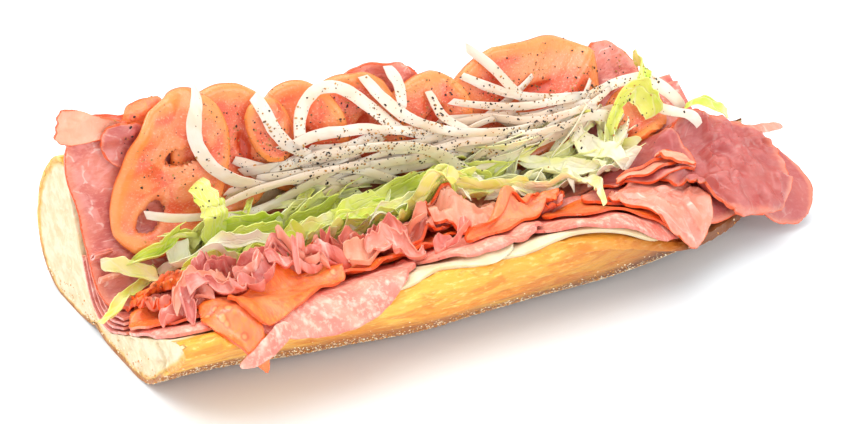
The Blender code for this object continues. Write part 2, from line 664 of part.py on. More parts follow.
def main():
    clear_scene()
    finishes = make_finishes()
    make_bread(finishes["bread_crust"])
    make_folded_ham(finishes["ham"])
    lay_slices(LOWER_SLICES, finishes)
    make_ham_tip(finishes["ham"])
    lay_slices(UPPER_SLICES, finishes)
    make_lettuce(finishes["lettuce"])
    make_onion(finishes["onion"])


main()
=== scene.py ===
# %% [markdown]
# # An opened Italian hoagie
#
# The real thing is a long roll, split along one side and laid open like a book. Its fillings lie in the V
# between the halves: cheese first, then salami, hot capicola and ham, then tomato, lettuce and onion, with
# pepper on top. One end was cut straight across, and there the white crumb and the edges of the slices
# show.
#
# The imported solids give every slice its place. This lesson lays the same slices again in the same order on
# the same guide surface, but with meshes that are fine enough for folds, torn edges, pores and grains.

# %% Load the frame
import math
import random

import bmesh
import bpy
import numpy as np
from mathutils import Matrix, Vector, noise
from mathutils.bvhtree import BVHTree


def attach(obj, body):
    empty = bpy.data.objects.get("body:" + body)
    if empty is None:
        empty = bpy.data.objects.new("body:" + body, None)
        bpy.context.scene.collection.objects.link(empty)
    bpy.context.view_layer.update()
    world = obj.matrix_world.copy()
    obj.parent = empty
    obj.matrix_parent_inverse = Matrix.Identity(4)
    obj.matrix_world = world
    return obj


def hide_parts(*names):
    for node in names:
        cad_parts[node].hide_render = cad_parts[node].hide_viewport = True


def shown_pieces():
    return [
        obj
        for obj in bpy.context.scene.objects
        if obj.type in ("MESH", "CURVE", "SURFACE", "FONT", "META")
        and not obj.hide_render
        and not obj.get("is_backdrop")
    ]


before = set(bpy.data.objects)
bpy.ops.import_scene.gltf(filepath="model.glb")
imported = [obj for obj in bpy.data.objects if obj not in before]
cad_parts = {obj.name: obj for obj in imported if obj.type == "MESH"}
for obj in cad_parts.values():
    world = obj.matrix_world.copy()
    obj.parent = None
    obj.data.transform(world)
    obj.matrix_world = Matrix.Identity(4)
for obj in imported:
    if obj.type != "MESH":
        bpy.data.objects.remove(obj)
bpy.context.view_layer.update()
MM = 0.001

# %% [markdown]
# ## Camera, floor and light
#
# A photograph from about a metre away flattens depth only a little, so the camera is a long lens at 0.8 m,
# 32 degrees above the table and turned 26 degrees to the left. The light is a studio's: one wide soft box
# overhead, a second from behind on the left that gives wet food its gleam, a third in front, and a pale
# room that fills the shadows.

# %% Camera, floor and light
AZIMUTH, ELEVATION, DISTANCE = math.radians(-26), math.radians(32), 0.8
TARGET = Vector((0, 0, 0.030))
SENSOR, FOCAL_PIXELS, PHOTO_WIDTH = 36.0, 2000, 860
BACK = Vector((math.sin(AZIMUTH) * math.cos(ELEVATION), -math.cos(AZIMUTH) * math.cos(ELEVATION),
               math.sin(ELEVATION)))


def set_camera():
    """The camera, turned towards the food."""
    data = bpy.data.cameras.new("camera")
    data.sensor_width = SENSOR
    data.lens = FOCAL_PIXELS / PHOTO_WIDTH * SENSOR
    made = bpy.data.objects.new("camera", data)
    bpy.context.scene.collection.objects.link(made)
    made.rotation_mode = "QUATERNION"
    made.rotation_quaternion = BACK.to_track_quat("Z", "Y")
    made.location = TARGET + BACK * DISTANCE
    bpy.context.scene.camera = made


def soft_box(name, place_at, size, power, tint=(1, 1, 1)):
    """A rectangular light, turned towards the food."""
    data = bpy.data.lights.new(name, "AREA")
    data.shape = "RECTANGLE"
    data.size, data.size_y = size
    data.energy = power
    data.color = tint
    made = bpy.data.objects.new(name, data)
    bpy.context.scene.collection.objects.link(made)
    made.location = place_at
    made.rotation_mode = "QUATERNION"
    made.rotation_quaternion = (Vector(place_at) - TARGET).to_track_quat("Z", "Y")


set_camera()
soft_box("overhead", (-0.10, 0.05, 1.1), (1.1, 0.9), 8.0, tint=(1.0, 0.985, 0.96))
soft_box("behind_left", (-0.75, 0.75, 0.75), (0.7, 0.5), 5.2)
soft_box("front", (0.45, -1.0, 0.55), (0.9, 0.6), 4.4)
room = bpy.data.worlds.new("room")
room.use_nodes = True
room.node_tree.nodes["Background"].inputs["Color"].default_value = (1.0, 1.0, 1.0, 1)
room.node_tree.nodes["Background"].inputs["Strength"].default_value = 0.94
bpy.context.scene.world = room
bpy.context.scene.view_settings.view_transform = "Standard"

table = bmesh.new()
bmesh.ops.create_grid(table, x_segments=1, y_segments=1, size=4.0)
table_data = bpy.data.meshes.new("table")
table.to_mesh(table_data)
table.free()
floor = bpy.data.objects.new("table", table_data)
bpy.context.scene.collection.objects.link(floor)
floor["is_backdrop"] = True
print("camera at", [round(v, 3) for v in bpy.context.scene.camera.location])

# %% [markdown]
# ## How finishes are mixed
#
# Every finish is a Principled shader fed by procedural patterns. The few helpers below keep each recipe
# short: `wire` adds a node with its inputs, `paint` turns a colour that was read off food into the linear
# values that shaders use. Each mesh carries the attributes `own` (a place on the piece itself, in metres,
# so a pattern bends with it), `grain` (places stretched so that noise becomes streaks), `rim` (0 in the
# middle, 1 at the edge) and `tone` (its own shade). The roll has `crust` (1 on the crust, 0 in the crumb)
# and `raised` (millimetres above its foot) instead.

# %% Helpers for finishes


def paint(red, green, blue):
    """A colour of 0 to 255 as linear values."""
    found = []
    for value in (red, green, blue):
        share = value / 255
        found.append(share / 12.92 if share <= 0.04045 else ((share + 0.055) / 1.055) ** 2.4)
    return (*found, 1.0)


def wire(tree, kind, settings=None, **inputs):
    """A new shader node. An input is a number, a colour or another node's output; i0 is the first input."""
    made = tree.nodes.new("ShaderNode" + kind)
    for key, value in (settings or {}).items():
        setattr(made, key, value)
    for key, value in inputs.items():
        numbered = key[0] == "i" and key[1:].isdigit()
        socket = made.inputs[int(key[1:]) if numbered else key.replace("_", " ")]
        if isinstance(value, bpy.types.NodeSocket):
            tree.links.new(value, socket)
        else:
            socket.default_value = value
    return made


def begin(name, **sockets):
    """A new finish: its material, its node tree and its Principled shader."""
    made = bpy.data.materials.new(name)
    made.use_nodes = True
    tree = made.node_tree
    shader = tree.nodes["Principled BSDF"]
    for key, value in sockets.items():
        shader.inputs[key.replace("_", " ")].default_value = value
    return made, tree, shader


def attribute(tree, name):
    """What the mesh says about each point: a place for own and grain, else a number."""
    made = wire(tree, "Attribute", {"attribute_name": name})
    return made.outputs["Vector" if name in ("own", "grain") else "Fac"]


def attributes(tree, *names):
    """Several of them at once."""
    return [attribute(tree, name) for name in names]


def cloud(tree, vector, size, detail=2.0, rough=0.5, warp=0.0):
    """Noise whose blotches are about that many metres across."""
    return wire(tree, "TexNoise", None, Vector=vector, Scale=1 / size, Detail=detail, Roughness=rough,
                Distortion=warp).outputs["Fac"]


def cells(tree, vector, size, feature="F1"):
    """How far each point is from the middle, or the border, of its cell."""
    made = wire(tree, "TexVoronoi", {"feature": feature}, Vector=vector, Scale=1 / size)
    return made.outputs["Distance"]


def fade(tree, value, low, high, to_low=0.0, to_high=1.0):
    """A smooth step from to_low to to_high as the value goes from low to high."""
    return wire(tree, "MapRange", {"interpolation_type": "SMOOTHSTEP"}, Value=value, From_Min=low,
                From_Max=high, To_Min=to_low, To_Max=to_high).outputs["Result"]


def mixed(tree, share, a, b):
    """Two colours, blended by the share."""
    return wire(tree, "Mix", {"data_type": "RGBA"}, i0=share, i6=a, i7=b).outputs[2]


def plus(tree, a, b):
    """Adds two numbers in the shader."""
    return wire(tree, "Math", {"operation": "ADD"}, i0=a, i1=b).outputs[0]


def less(tree, a, b):
    """Takes one number from another in the shader."""
    return wire(tree, "Math", {"operation": "SUBTRACT"}, i0=a, i1=b).outputs[0]


def times(tree, a, b):
    """Multiplies two numbers in the shader."""
    return wire(tree, "Math", {"operation": "MULTIPLY"}, i0=a, i1=b).outputs[0]


def swing(tree, value, amount):
    """How far the value is from a half, times the amount."""
    return times(tree, less(tree, value, 0.5), amount)


def bumps(tree, shader, *layers):
    """Relief from (height, depth in metres) layers, one on the other."""
    normal = None
    for height, depth in layers:
        made = wire(tree, "Bump", None, Height=height, Distance=depth, Strength=1.0)
        if normal:
            tree.links.new(normal, made.inputs["Normal"])
        normal = made.outputs["Normal"]
    tree.links.new(normal, shader.inputs["Normal"])


def join(tree, socket, shader, name):
    """Feeds one of the shader's sockets."""
    tree.links.new(socket, shader.inputs[name])

# %% [markdown]
# ## Table
#
# A plain pale sweep. A faint roughness keeps it from looking like glass.

# %% Table finish
finish, tree, shader = begin("table_sweep", Roughness=0.75)
spot = wire(tree, "TexCoord").outputs["Object"]
join(tree, mixed(tree, cloud(tree, spot, 0.4), paint(238, 247, 252), paint(243, 250, 254)), shader,
     "Base Color")
floor.data.materials.append(finish)

# %% [markdown]
# ## The roll
#
# A roll has a thin glossy crust and an open white crumb. Crust is a skin only about a millimetre deep, so
# one mesh with an attribute that says where crust turns to crumb is truer than two shells. The crust goes
# from straw yellow at the shoulder to brown near the bottom, with blisters drawn out along the roll. The
# crumb is cream with fine pores.

# %% Bread finish


def bread_finish():
    """Gold crust, browner towards the foot and the tapered end, and pale crumb inside."""
    made, tree, shader = begin("bread_crust_and_crumb", Subsurface_Weight=0.15, Subsurface_Scale=0.003,
                               Subsurface_Radius=(1.0, 0.7, 0.4))
    spot = wire(tree, "TexCoord").outputs["Object"]
    crust = attribute(tree, "crust")
    parts = wire(tree, "SeparateXYZ", None, Vector=spot)
    long_spot = wire(tree, "Mapping", None, Vector=spot, Scale=(0.38, 1.0, 1.0)).outputs["Vector"]
    blotch = cloud(tree, long_spot, 0.013, 4.0, 0.62, 0.5)
    patch = cloud(tree, long_spot, 0.0050, 3.0, 0.6, 0.6)
    speck_and_highlight = cloud(tree, long_spot, 0.0016, 3.0, 0.6)
    ragged = plus(tree, crust, swing(tree, patch, 0.7))
    skin = fade(tree, ragged, 0.36, 0.74)

    low = fade(tree, plus(tree, parts.outputs["Z"], times(tree, blotch, 0.016)), 0.014, 0.042)
    end = fade(tree, plus(tree, parts.outputs["X"], times(tree, blotch, 0.08)), 0.010, 0.150)
    gold = mixed(tree, low, paint(216, 118, 28), paint(246, 174, 58))
    gold = mixed(tree, fade(tree, blotch, 0.46, 0.64, 0.0, 0.85), gold, paint(252, 196, 80))
    gold = mixed(tree, fade(tree, patch, 0.34, 0.54, 0.75, 0.0), gold, paint(222, 124, 28))
    # Pale specks along the crust: partly its own mottling, partly painted highlights on its blisters.
    gold = mixed(tree, fade(tree, speck_and_highlight, 0.54, 0.68, 0.0, 0.6), gold, paint(255, 222, 130))
    gold = mixed(tree, times(tree, end, 0.85), gold, paint(170, 88, 26))
    raised = less(tree, attribute(tree, "raised"), fade(tree, parts.outputs["X"], 0.05, 0.13, 0.0, 14.0))
    foot = fade(tree, plus(tree, raised, times(tree, patch, 8.0)), 14.0, 24.0, 1.0, 0.0)
    dark = mixed(tree, fade(tree, parts.outputs["X"], -0.04, 0.08), paint(172, 104, 46), paint(116, 66, 32))
    gold = mixed(tree, times(tree, foot, 0.92), gold, dark)

    pore = cells(tree, spot, 0.0015, "SMOOTH_F1")
    tuft = cloud(tree, spot, 0.0060, 4.0, 0.62, 0.5)
    fine = cloud(tree, spot, 0.0010, 3.0, 0.6)
    crumb = mixed(tree, fade(tree, tuft, 0.34, 0.62), paint(226, 201, 158), paint(240, 222, 191))
    crumb = mixed(tree, fade(tree, fine, 0.52, 0.72, 0.0, 0.35), crumb, paint(228, 200, 146))
    toast = fade(tree, crust, 0.02, 0.45)
    crumb = mixed(tree, times(tree, toast, 0.9), crumb, paint(238, 188, 108))
    join(tree, mixed(tree, skin, crumb, gold), shader, "Base Color")
    join(tree, fade(tree, skin, 0.0, 1.0, 0.85, 0.40), shader, "Roughness")
    rough_crumb = less(tree, 1.0, skin)
    bumps(tree, shader,
          (times(tree, tuft, rough_crumb), 0.0008), (times(tree, pore, rough_crumb), 0.0003),
          (times(tree, fine, rough_crumb), 0.0003),
          (times(tree, blotch, skin), 0.0016), (times(tree, patch, skin), 0.0009),
          (times(tree, speck_and_highlight, skin), 0.0002))
    return made

# %% [markdown]
# ## Meats and cheese
#
# Ham is pink with pale seams between its muscles, and a thin smoked edge. Salami is a rosy paste
# crowded with white fat. Hot capicola has round pale lights in pink meat and a broad orange edge of ground
# red pepper. Provolone is almost plain cream. All are damp, so each gets a smooth coat and lets some light
# through.

# %% Ham finish


def ham_finish():
    """Pink flesh with pale patches and seams, and an orange line at the rim."""
    made, tree, shader = begin("ham", Roughness=0.36, Coat_Weight=0.22, Coat_Roughness=0.2,
                               Subsurface_Weight=0.25, Subsurface_Scale=0.0025,
                               Subsurface_Radius=(1.0, 0.45, 0.35))
    own, rim, tone = attributes(tree, "own", "rim", "tone")
    broad = cloud(tree, own, 0.017, 2.0, 0.5, 0.4)
    patch = cloud(tree, own, 0.0065, 3.0, 0.55, 0.8)
    fibre = cloud(tree, wire(tree, "Mapping", None, Vector=own, Scale=(0.45, 1.0, 1.0)).outputs["Vector"],
                  0.0014, 4.0, 0.6, 0.6)
    bent = wire(tree, "VectorMath", {"operation": "ADD"}, i0=own,
                i1=wire(tree, "VectorMath", {"operation": "SCALE"},
                        i0=wire(tree, "TexNoise", None, Vector=own, Scale=90.0).outputs["Color"],
                        Scale=0.012).outputs[0]).outputs[0]
    seam = cells(tree, bent, 0.017, "DISTANCE_TO_EDGE")
    flesh = mixed(tree, fade(tree, broad, 0.36, 0.64), paint(206, 102, 92), paint(230, 136, 114))
    flesh = mixed(tree, fade(tree, patch, 0.44, 0.66, 0.0, 0.7), flesh, paint(242, 166, 154))
    flesh = mixed(tree, fade(tree, fibre, 0.48, 0.70, 0.0, 0.5), flesh, paint(246, 178, 164))
    pale_seam = times(tree, fade(tree, seam, 0.006, 0.03, 0.8, 0.0), fade(tree, patch, 0.46, 0.6))
    flesh = mixed(tree, pale_seam, flesh, paint(252, 212, 198))
    flesh = mixed(tree, fade(tree, tone, 0.0, 1.0, 0.0, 0.85), flesh, paint(248, 178, 144))
    flesh = mixed(tree, fade(tree, tone, -1.0, 0.0, 0.75, 0.0), flesh, paint(174, 78, 78))
    wander = plus(tree, rim, swing(tree, fibre, 0.07))
    flesh = mixed(tree, fade(tree, wander, 0.84, 0.97, 0.0, 0.45), flesh, paint(246, 160, 124))
    flesh = mixed(tree, fade(tree, wander, 0.970, 0.992), flesh, paint(236, 92, 40))
    join(tree, flesh, shader, "Base Color")
    bumps(tree, shader, (broad, 0.0008), (patch, 0.0006), (fibre, 0.0003))
    return made

# %% Salami, capicola and provolone finishes


def salami_finish():
    """Rosy paste with soft, pale lumps of fat."""
    made, tree, shader = begin("salami", Roughness=0.38, Coat_Weight=0.2, Coat_Roughness=0.2,
                               Subsurface_Weight=0.25, Subsurface_Scale=0.0025,
                               Subsurface_Radius=(1.0, 0.5, 0.4))
    own, rim = attributes(tree, "own", "rim")
    chunk = cloud(tree, own, 0.0040, 2.5, 0.55, 0.2)
    paste = cloud(tree, own, 0.0014, 3.0, 0.6)
    broad = cloud(tree, own, 0.016)
    meat = mixed(tree, fade(tree, broad, 0.4, 0.65), paint(236, 128, 112), paint(248, 160, 138))
    meat = mixed(tree, fade(tree, paste, 0.48, 0.66, 0.0, 0.7), meat, paint(252, 192, 170))
    meat = mixed(tree, fade(tree, chunk, 0.50, 0.74, 0.0, 0.6), meat, paint(254, 222, 204))
    meat = mixed(tree, fade(tree, rim, 0.965, 0.99, 0.0, 0.5), meat, paint(226, 104, 92))
    join(tree, meat, shader, "Base Color")
    bumps(tree, shader, (chunk, 0.0005), (paste, 0.0003))
    return made


def capicola_finish():
    """Orange-pink meat with round pale lights, a darker ring round each, and a spiced rim."""
    made, tree, shader = begin("hot_capicola", Roughness=0.32, Coat_Weight=0.35, Coat_Roughness=0.15,
                               Subsurface_Weight=0.25, Subsurface_Scale=0.0025,
                               Subsurface_Radius=(1.0, 0.4, 0.25))
    own, rim, tone = attributes(tree, "own", "rim", "tone")
    light = cells(tree, own, 0.0052)
    paste = cloud(tree, own, 0.0016, 3.0, 0.6)
    broad = cloud(tree, own, 0.011, 3.0, 0.6, 0.6)
    meat = mixed(tree, fade(tree, broad, 0.36, 0.62), paint(240, 108, 62), paint(252, 150, 96))
    spice = plus(tree, rim, swing(tree, broad, 0.9))
    meat = mixed(tree, fade(tree, spice, 0.50, 0.84), meat, paint(246, 116, 40))
    meat = mixed(tree, fade(tree, paste, 0.50, 0.68, 0.0, 0.7), meat, paint(253, 146, 50))
    meat = mixed(tree, fade(tree, light, 0.12, 0.26, 0.6, 0.0), meat, paint(253, 176, 112))
    ring = times(tree, fade(tree, light, 0.18, 0.25), fade(tree, light, 0.27, 0.36, 1.0, 0.0))
    meat = mixed(tree, times(tree, ring, 0.45), meat, paint(214, 70, 40))
    meat = mixed(tree, fade(tree, tone, 0.2, 1.0, 0.0, 0.85), meat, paint(250, 182, 150))
    meat = mixed(tree, fade(tree, rim, 0.95, 0.985), meat, paint(238, 92, 32))
    join(tree, meat, shader, "Base Color")
    bumps(tree, shader, (broad, 0.0006), (paste, 0.0004), (light, 0.0001))
    return made


def provolone_finish():
    """Plain cream that lets some light through."""
    made, tree, shader = begin("provolone", Roughness=0.42, Coat_Weight=0.15, Coat_Roughness=0.3,
                               Subsurface_Weight=0.5, Subsurface_Scale=0.004,
                               Subsurface_Radius=(1.0, 0.8, 0.5))
    own = attribute(tree, "own")
    broad = cloud(tree, own, 0.014)
    fine = cloud(tree, own, 0.0018, 2.0)
    join(tree, mixed(tree, fade(tree, broad, 0.35, 0.65), paint(226, 204, 162), paint(238, 222, 188)),
         shader, "Base Color")
    bumps(tree, shader, (broad, 0.0004), (fine, 0.0001))
    return made

# %% [markdown]
# ## Vegetables
#
# A tomato slice is a ring of firm orange-red wall with faint rays, paler spokes and darker wet pockets.
# Onion is glassy, with fine lines that run along each arc. Iceberg lettuce runs from white ribs to yellow-
# green leaf, and its veins follow the shred.

# %% Tomato, lettuce and onion finishes


def tomato_finish():
    """Orange-red flesh with faint pale rays, a wall at the rim and redder pockets."""
    made, tree, shader = begin("tomato", Roughness=0.24, Coat_Weight=0.45, Coat_Roughness=0.1,
                               Subsurface_Weight=0.25, Subsurface_Scale=0.003,
                               Subsurface_Radius=(1.0, 0.5, 0.2))
    own, grain, rim, pocket = attributes(tree, "own", "grain", "rim", "tone")
    ray = cloud(tree, grain, 0.09, 3.0, 0.6)
    broad = cloud(tree, own, 0.012, 2.0, 0.5, 0.5)
    fine = cloud(tree, own, 0.0010, 3.0, 0.62)
    flesh = mixed(tree, fade(tree, broad, 0.36, 0.64), paint(234, 100, 62), paint(246, 144, 92))
    flesh = mixed(tree, fade(tree, ray, 0.46, 0.70, 0.0, 0.6), flesh, paint(250, 168, 116))
    # Pale specks in the flesh: partly its own mottling, partly painted glints of wet flesh.
    flesh = mixed(tree, fade(tree, fine, 0.53, 0.71, 0.0, 0.6), flesh, paint(255, 202, 166))
    wall = fade(tree, plus(tree, rim, times(tree, broad, 0.10)), 0.78, 0.93)
    flesh = mixed(tree, times(tree, wall, 0.75), flesh, paint(250, 150, 72))
    flesh = mixed(tree, fade(tree, pocket, 0.1, 0.6, 0.0, 0.8), flesh, paint(214, 66, 28))
    flesh = mixed(tree, fade(tree, rim, 0.975, 0.995), flesh, paint(240, 112, 44))
    join(tree, flesh, shader, "Base Color")
    bumps(tree, shader, (broad, 0.0008), (ray, 0.0004), (fine, 0.0003))
    return made


def lettuce_finish():
    """From white rib to yellow-green leaf, with pale veins."""
    made, tree, shader = begin("lettuce", Roughness=0.36, Coat_Weight=0.2, Coat_Roughness=0.2,
                               Subsurface_Weight=0.3, Subsurface_Scale=0.003,
                               Subsurface_Radius=(1.0, 1.0, 0.6))
    grain, own, tone, rim = attributes(tree, "grain", "own", "tone", "rim")
    vein = cells(tree, grain, 0.0034, "DISTANCE_TO_EDGE")
    broad = cloud(tree, own, 0.010, 2.0)
    fine = cloud(tree, grain, 0.0009, 3.0, 0.6)
    shade = plus(tree, tone, swing(tree, broad, 1.1))
    leaf = mixed(tree, fade(tree, shade, 0.00, 0.35), paint(254, 252, 228), paint(248, 248, 168))
    leaf = mixed(tree, fade(tree, shade, 0.28, 0.66), leaf, paint(234, 242, 118))
    leaf = mixed(tree, fade(tree, shade, 0.66, 1.05), leaf, paint(196, 226, 66))
    leaf = mixed(tree, fade(tree, vein, 0.01, 0.06, 0.35, 0.0), leaf, paint(250, 249, 214))
    leaf = mixed(tree, fade(tree, fine, 0.5, 0.7, 0.0, 0.25), leaf, paint(248, 248, 206))
    leaf = mixed(tree, fade(tree, rim, 0.86, 1.0, 0.0, 0.2), leaf, paint(200, 222, 96))
    join(tree, leaf, shader, "Base Color")
    bumps(tree, shader, (fade(tree, vein, 0.0, 0.10), 0.00015), (broad, 0.0008), (fine, 0.0001))
    return made


def onion_finish():
    """Glassy cream flesh with fine lines along each arc."""
    made, tree, shader = begin("onion", Roughness=0.32, Coat_Weight=0.3, Coat_Roughness=0.15,
                               Subsurface_Weight=0.4, Subsurface_Scale=0.003,
                               Subsurface_Radius=(1.0, 0.9, 0.8), Transmission_Weight=0.12)
    grain, own, tone = attributes(tree, "grain", "own", "tone")
    line = cloud(tree, grain, 0.0008, 3.0, 0.6)
    broad = cloud(tree, own, 0.010, 2.0)
    flesh = mixed(tree, fade(tree, broad, 0.35, 0.65), paint(242, 222, 196), paint(248, 238, 220))
    flesh = mixed(tree, fade(tree, line, 0.48, 0.66, 0.0, 0.3), flesh, paint(248, 222, 194))
    flesh = mixed(tree, fade(tree, tone, 0.45, 1.0, 0.0, 0.5), flesh, paint(255, 216, 190))
    join(tree, flesh, shader, "Base Color")
    bumps(tree, shader, (line, 0.0001), (broad, 0.0003))
    return made


FINISHES = {
    "ham": ham_finish(), "salami": salami_finish(), "hot_capicola": capicola_finish(),
    "provolone": provolone_finish(), "tomato": tomato_finish(), "lettuce": lettuce_finish(),
    "onion": onion_finish(), "bread_crust": bread_finish(),
}
print("finishes:", ", ".join(FINISHES))

# %% [markdown]
# ## The guide surface
#
# Fillings on a roll follow its open V: down the front half, round the trough and up the back half. Instead
# of placing each slice by hand in space, places are given on a guide surface: x along the roll, u across it
# from the trough, and h above it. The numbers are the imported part's own, so every piece lands where its
# solid is.

# %% Guide surface
CUT_X, CUT_SLANT, HINGE_Y, TIP_X = -135.0, math.tan(math.radians(8)), 20.0, 156.0
TAPER_START, TAPER_CENTRE_Y = 50.0, 8.0
RIM_ARC, RISE_ARC, GAP = 20.0, 110.0, 0.25
FRONT_TILT, BACK_TILT, BREAD_SIDE_TILT = -28.0, 79.0, 116.0
BELOW_GUIDE = 0.35
GUIDE_STATIONS = np.array((
    (-165.0, -28.0, 79.0, 102.0, -79.0, 38.0, 14.0, 13.0),
    (20.0, -28.0, 79.0, 102.0, -79.0, 38.0, 14.0, 13.0),
    (55.0, -27.0, 78.0, 102.0, -78.0, 38.0, 13.8, 13.6),
    (78.0, -12.0, 66.0, 100.0, -69.0, 38.0, 12.0, 23.0),
    (100.0, 9.0, 48.0, 98.0, -58.0, 36.0, 8.5, 37.0),
    (125.0, 24.0, 32.0, 92.0, -50.0, 32.0, 6.0, 44.0),
    (150.0, 27.0, 21.0, 80.0, -42.0, 30.0, 4.0, 36.0),
    (175.0, 28.0, 10.0, 70.0, -36.0, 30.0, 2.0, 25.0),
    (215.0, 30.0, 0.0, 60.0, -34.0, 30.0, 0.0, 8.0),
))
GUIDE_X = np.arange(-164.0, 215.0, 2.0)
GUIDE_U = np.arange(-130.0, 131.0)


def ease(start, end, value):
    """A smooth step from 0 at start to 1 at end."""
    t = np.clip((value - start) / (end - start), 0.0, 1.0)
    return t * t * (3 - 2 * t)


def guide_values(x):
    """The tilts of the slopes, the rim's place, the trough's arc and place at x, on a smooth curve."""
    at, values = GUIDE_STATIONS[:, 0], GUIDE_STATIONS[:, 1:]
    last = len(at) - 1
    i = min(int(np.searchsorted(at, x, side="right")) - 1, last - 1)
    span = at[i + 1] - at[i]
    t = (x - at[i]) / span
    slopes = []
    for k in (i, i + 1):
        before, after = max(k - 1, 0), min(k + 1, last)
        slopes.append((values[after] - values[before]) / (at[after] - at[before]))
    return (values[i] * (2 * t**3 - 3 * t**2 + 1) + slopes[0] * span * (t**3 - 2 * t**2 + t)
            + values[i + 1] * (3 * t**2 - 2 * t**3) + slopes[1] * span * (t**3 - t**2))


def turned_line(front, back, side, rim_u, arc, trough_y, trough_z, rim_arc=RIM_ARC):
    """A line across the roll, drawn by its turning angle: y, z, that angle and the one heights follow."""
    past_rim = np.clip((GUIDE_U - rim_u + rim_arc / 2) / rim_arc, 0, 1)
    slope = side + (front - side) * past_rim
    angle = np.radians(slope + (back - front) * np.clip(GUIDE_U / arc + 0.5, 0, 1))
    rise = np.radians(slope + (back - front) * np.clip(GUIDE_U / RISE_ARC + 0.5, 0, 1))
    middle = len(GUIDE_U) // 2
    across = np.concatenate([[0], np.cumsum((np.cos(angle)[1:] + np.cos(angle)[:-1]) / 2)])
    up = np.concatenate([[0], np.cumsum((np.sin(angle)[1:] + np.sin(angle)[:-1]) / 2)])
    return across - across[middle] + trough_y, up - up[middle] + trough_z, angle, rise


GUIDE = np.array([turned_line(*guide_values(x)) for x in GUIDE_X])


def between(grid, rows, columns, x, u):
    """The grid's value at x and u, which may lie between its rows and columns."""
    i = np.clip((x - rows[0]) / (rows[1] - rows[0]), 0, len(rows) - 1.001)
    j = np.clip((u - columns[0]) / (columns[1] - columns[0]), 0, len(columns) - 1.001)
    a, b = i.astype(int), j.astype(int)
    s, t = i - a, j - b
    near = grid[a, b] * (1 - t) + grid[a, b + 1] * t
    far = grid[a + 1, b] * (1 - t) + grid[a + 1, b + 1] * t
    return near * (1 - s) + far * s


def slant(x):
    """How far the cut's slant moves places along the roll, for each millimetre across it."""
    return CUT_SLANT * (1 - ease(-120, 20, x))


def place(x, u, h):
    """The points in space of places on the guide surface."""
    x, u, h = (np.asarray(v, dtype=float) for v in (x, u, h))
    across, up, _, rise = (between(GUIDE[:, k], GUIDE_X, GUIDE_U, x, u) for k in range(4))
    y = across - np.sin(rise) * h
    z = up + np.cos(rise) * h
    return np.stack([x - slant(x) * (y - HINGE_Y), y, z], axis=-1)


def lumps(points, size, seed=0.0, octaves=1):
    """Smooth noise of about -1 to 1 at points, whose bumps are about that size."""
    flat = np.asarray(points, dtype=float).reshape(-1, np.asarray(points).shape[-1])
    found = np.zeros(len(flat))
    for octave in range(octaves):
        factor = 2.1**octave / size
        shift = seed * 7.31 + octave * 3.7
        for k, point in enumerate(flat):
            spot = Vector((point[0] * factor + shift, point[1] * factor - shift,
                           point[2] * factor if len(point) > 2 else shift))
            found[k] += noise.noise(spot) / 1.8**octave
    return found.reshape(np.asarray(points).shape[:-1])


print("guide surface:", GUIDE.shape)

# %% [markdown]
# ## Finishing a mesh
#
# Each piece ends the same way: faces turned outwards, smooth shading with only real edges left sharp, its
# finish, and its ties to the imported model: the body that it rides on and the solid that it stands for,
# which is hidden.

# %% Finishing a mesh
SHARP_ANGLE = math.radians(50)


def add_piece(name, mesh, kind, *nodes):
    """Makes the mesh a finished piece that stands for the named solids."""
    bmesh.ops.recalc_face_normals(mesh, faces=list(mesh.faces))
    data = bpy.data.meshes.new(name)
    mesh.to_mesh(data)
    mesh.free()
    data.materials.append(FINISHES[kind])
    data.shade_smooth()
    data.set_sharp_from_angle(angle=SHARP_ANGLE)
    made = bpy.data.objects.new(name, data)
    bpy.context.scene.collection.objects.link(made)
    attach(made, "root")
    if nodes:
        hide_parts(*nodes)
    return made

# %% [markdown]
# ## Making the bread
#
# The roll is one closed skin. A grid is wrapped round the loaf: half of its rows follow the cut faces
# inside, half the crust outside, and both meet at the two rims. A second grid closes the sliced end from
# crust to crumb, fine enough to be pressed into pores and one long tear. Noise pushes the crust into
# shallow creases that run along the roll.

# %% Bread shapes
BREAD_OUTSIDE = np.array((
    (35.5, 76.3), (42, 73.0), (50.5, 65), (59, 53.5), (65, 40), (68, 27), (67, 14), (61.5, 4.5), (52, 0.0),
    (38, 0.0), (28, 1.0), (20.5, 3.6), (13.5, 0.8), (5, 0.0), (-12, 0.0), (-27, 0.0), (-39, 4.5), (-49, 14.5),
    (-56, 26), (-59, 35.5),
))
HINGE_INDEX = 11
BACK_HEIGHT = ((-150, -40, 0, 30, 70, 100, 130, 156), (72, 72, 68, 61, 57, 48, 28, 16))
CUT_END_FOOT_SHIFT, BREAD_RIM_U, BREAD_RIM_ARC, TROUGH_RADIUS = 13.0, -78.0, 14.0, 14.0
HALF_ROWS, TIP_LIFT = 80, 16.0


def bread_trough():
    """The bread's inside line: the guide's, but tighter in the trough and steeper past the rim."""
    turn = math.radians(BACK_TILT - FRONT_TILT)
    values = guide_values(0.0)
    guide_radius = values[4] / turn
    lower = (guide_radius - TROUGH_RADIUS) * (1 / math.cos(turn / 2) - 1)
    longer = (guide_radius - TROUGH_RADIUS) * (math.tan(turn / 2) - turn / 2)
    across = math.radians((BACK_TILT + FRONT_TILT) / 2 + 90)
    return turned_line(FRONT_TILT, BACK_TILT, BREAD_SIDE_TILT, BREAD_RIM_U - longer, TROUGH_RADIUS * turn,
                       values[5] - math.cos(across) * lower, values[6] - math.sin(across) * lower,
                       BREAD_RIM_ARC)


INSIDE_LINE = bread_trough()


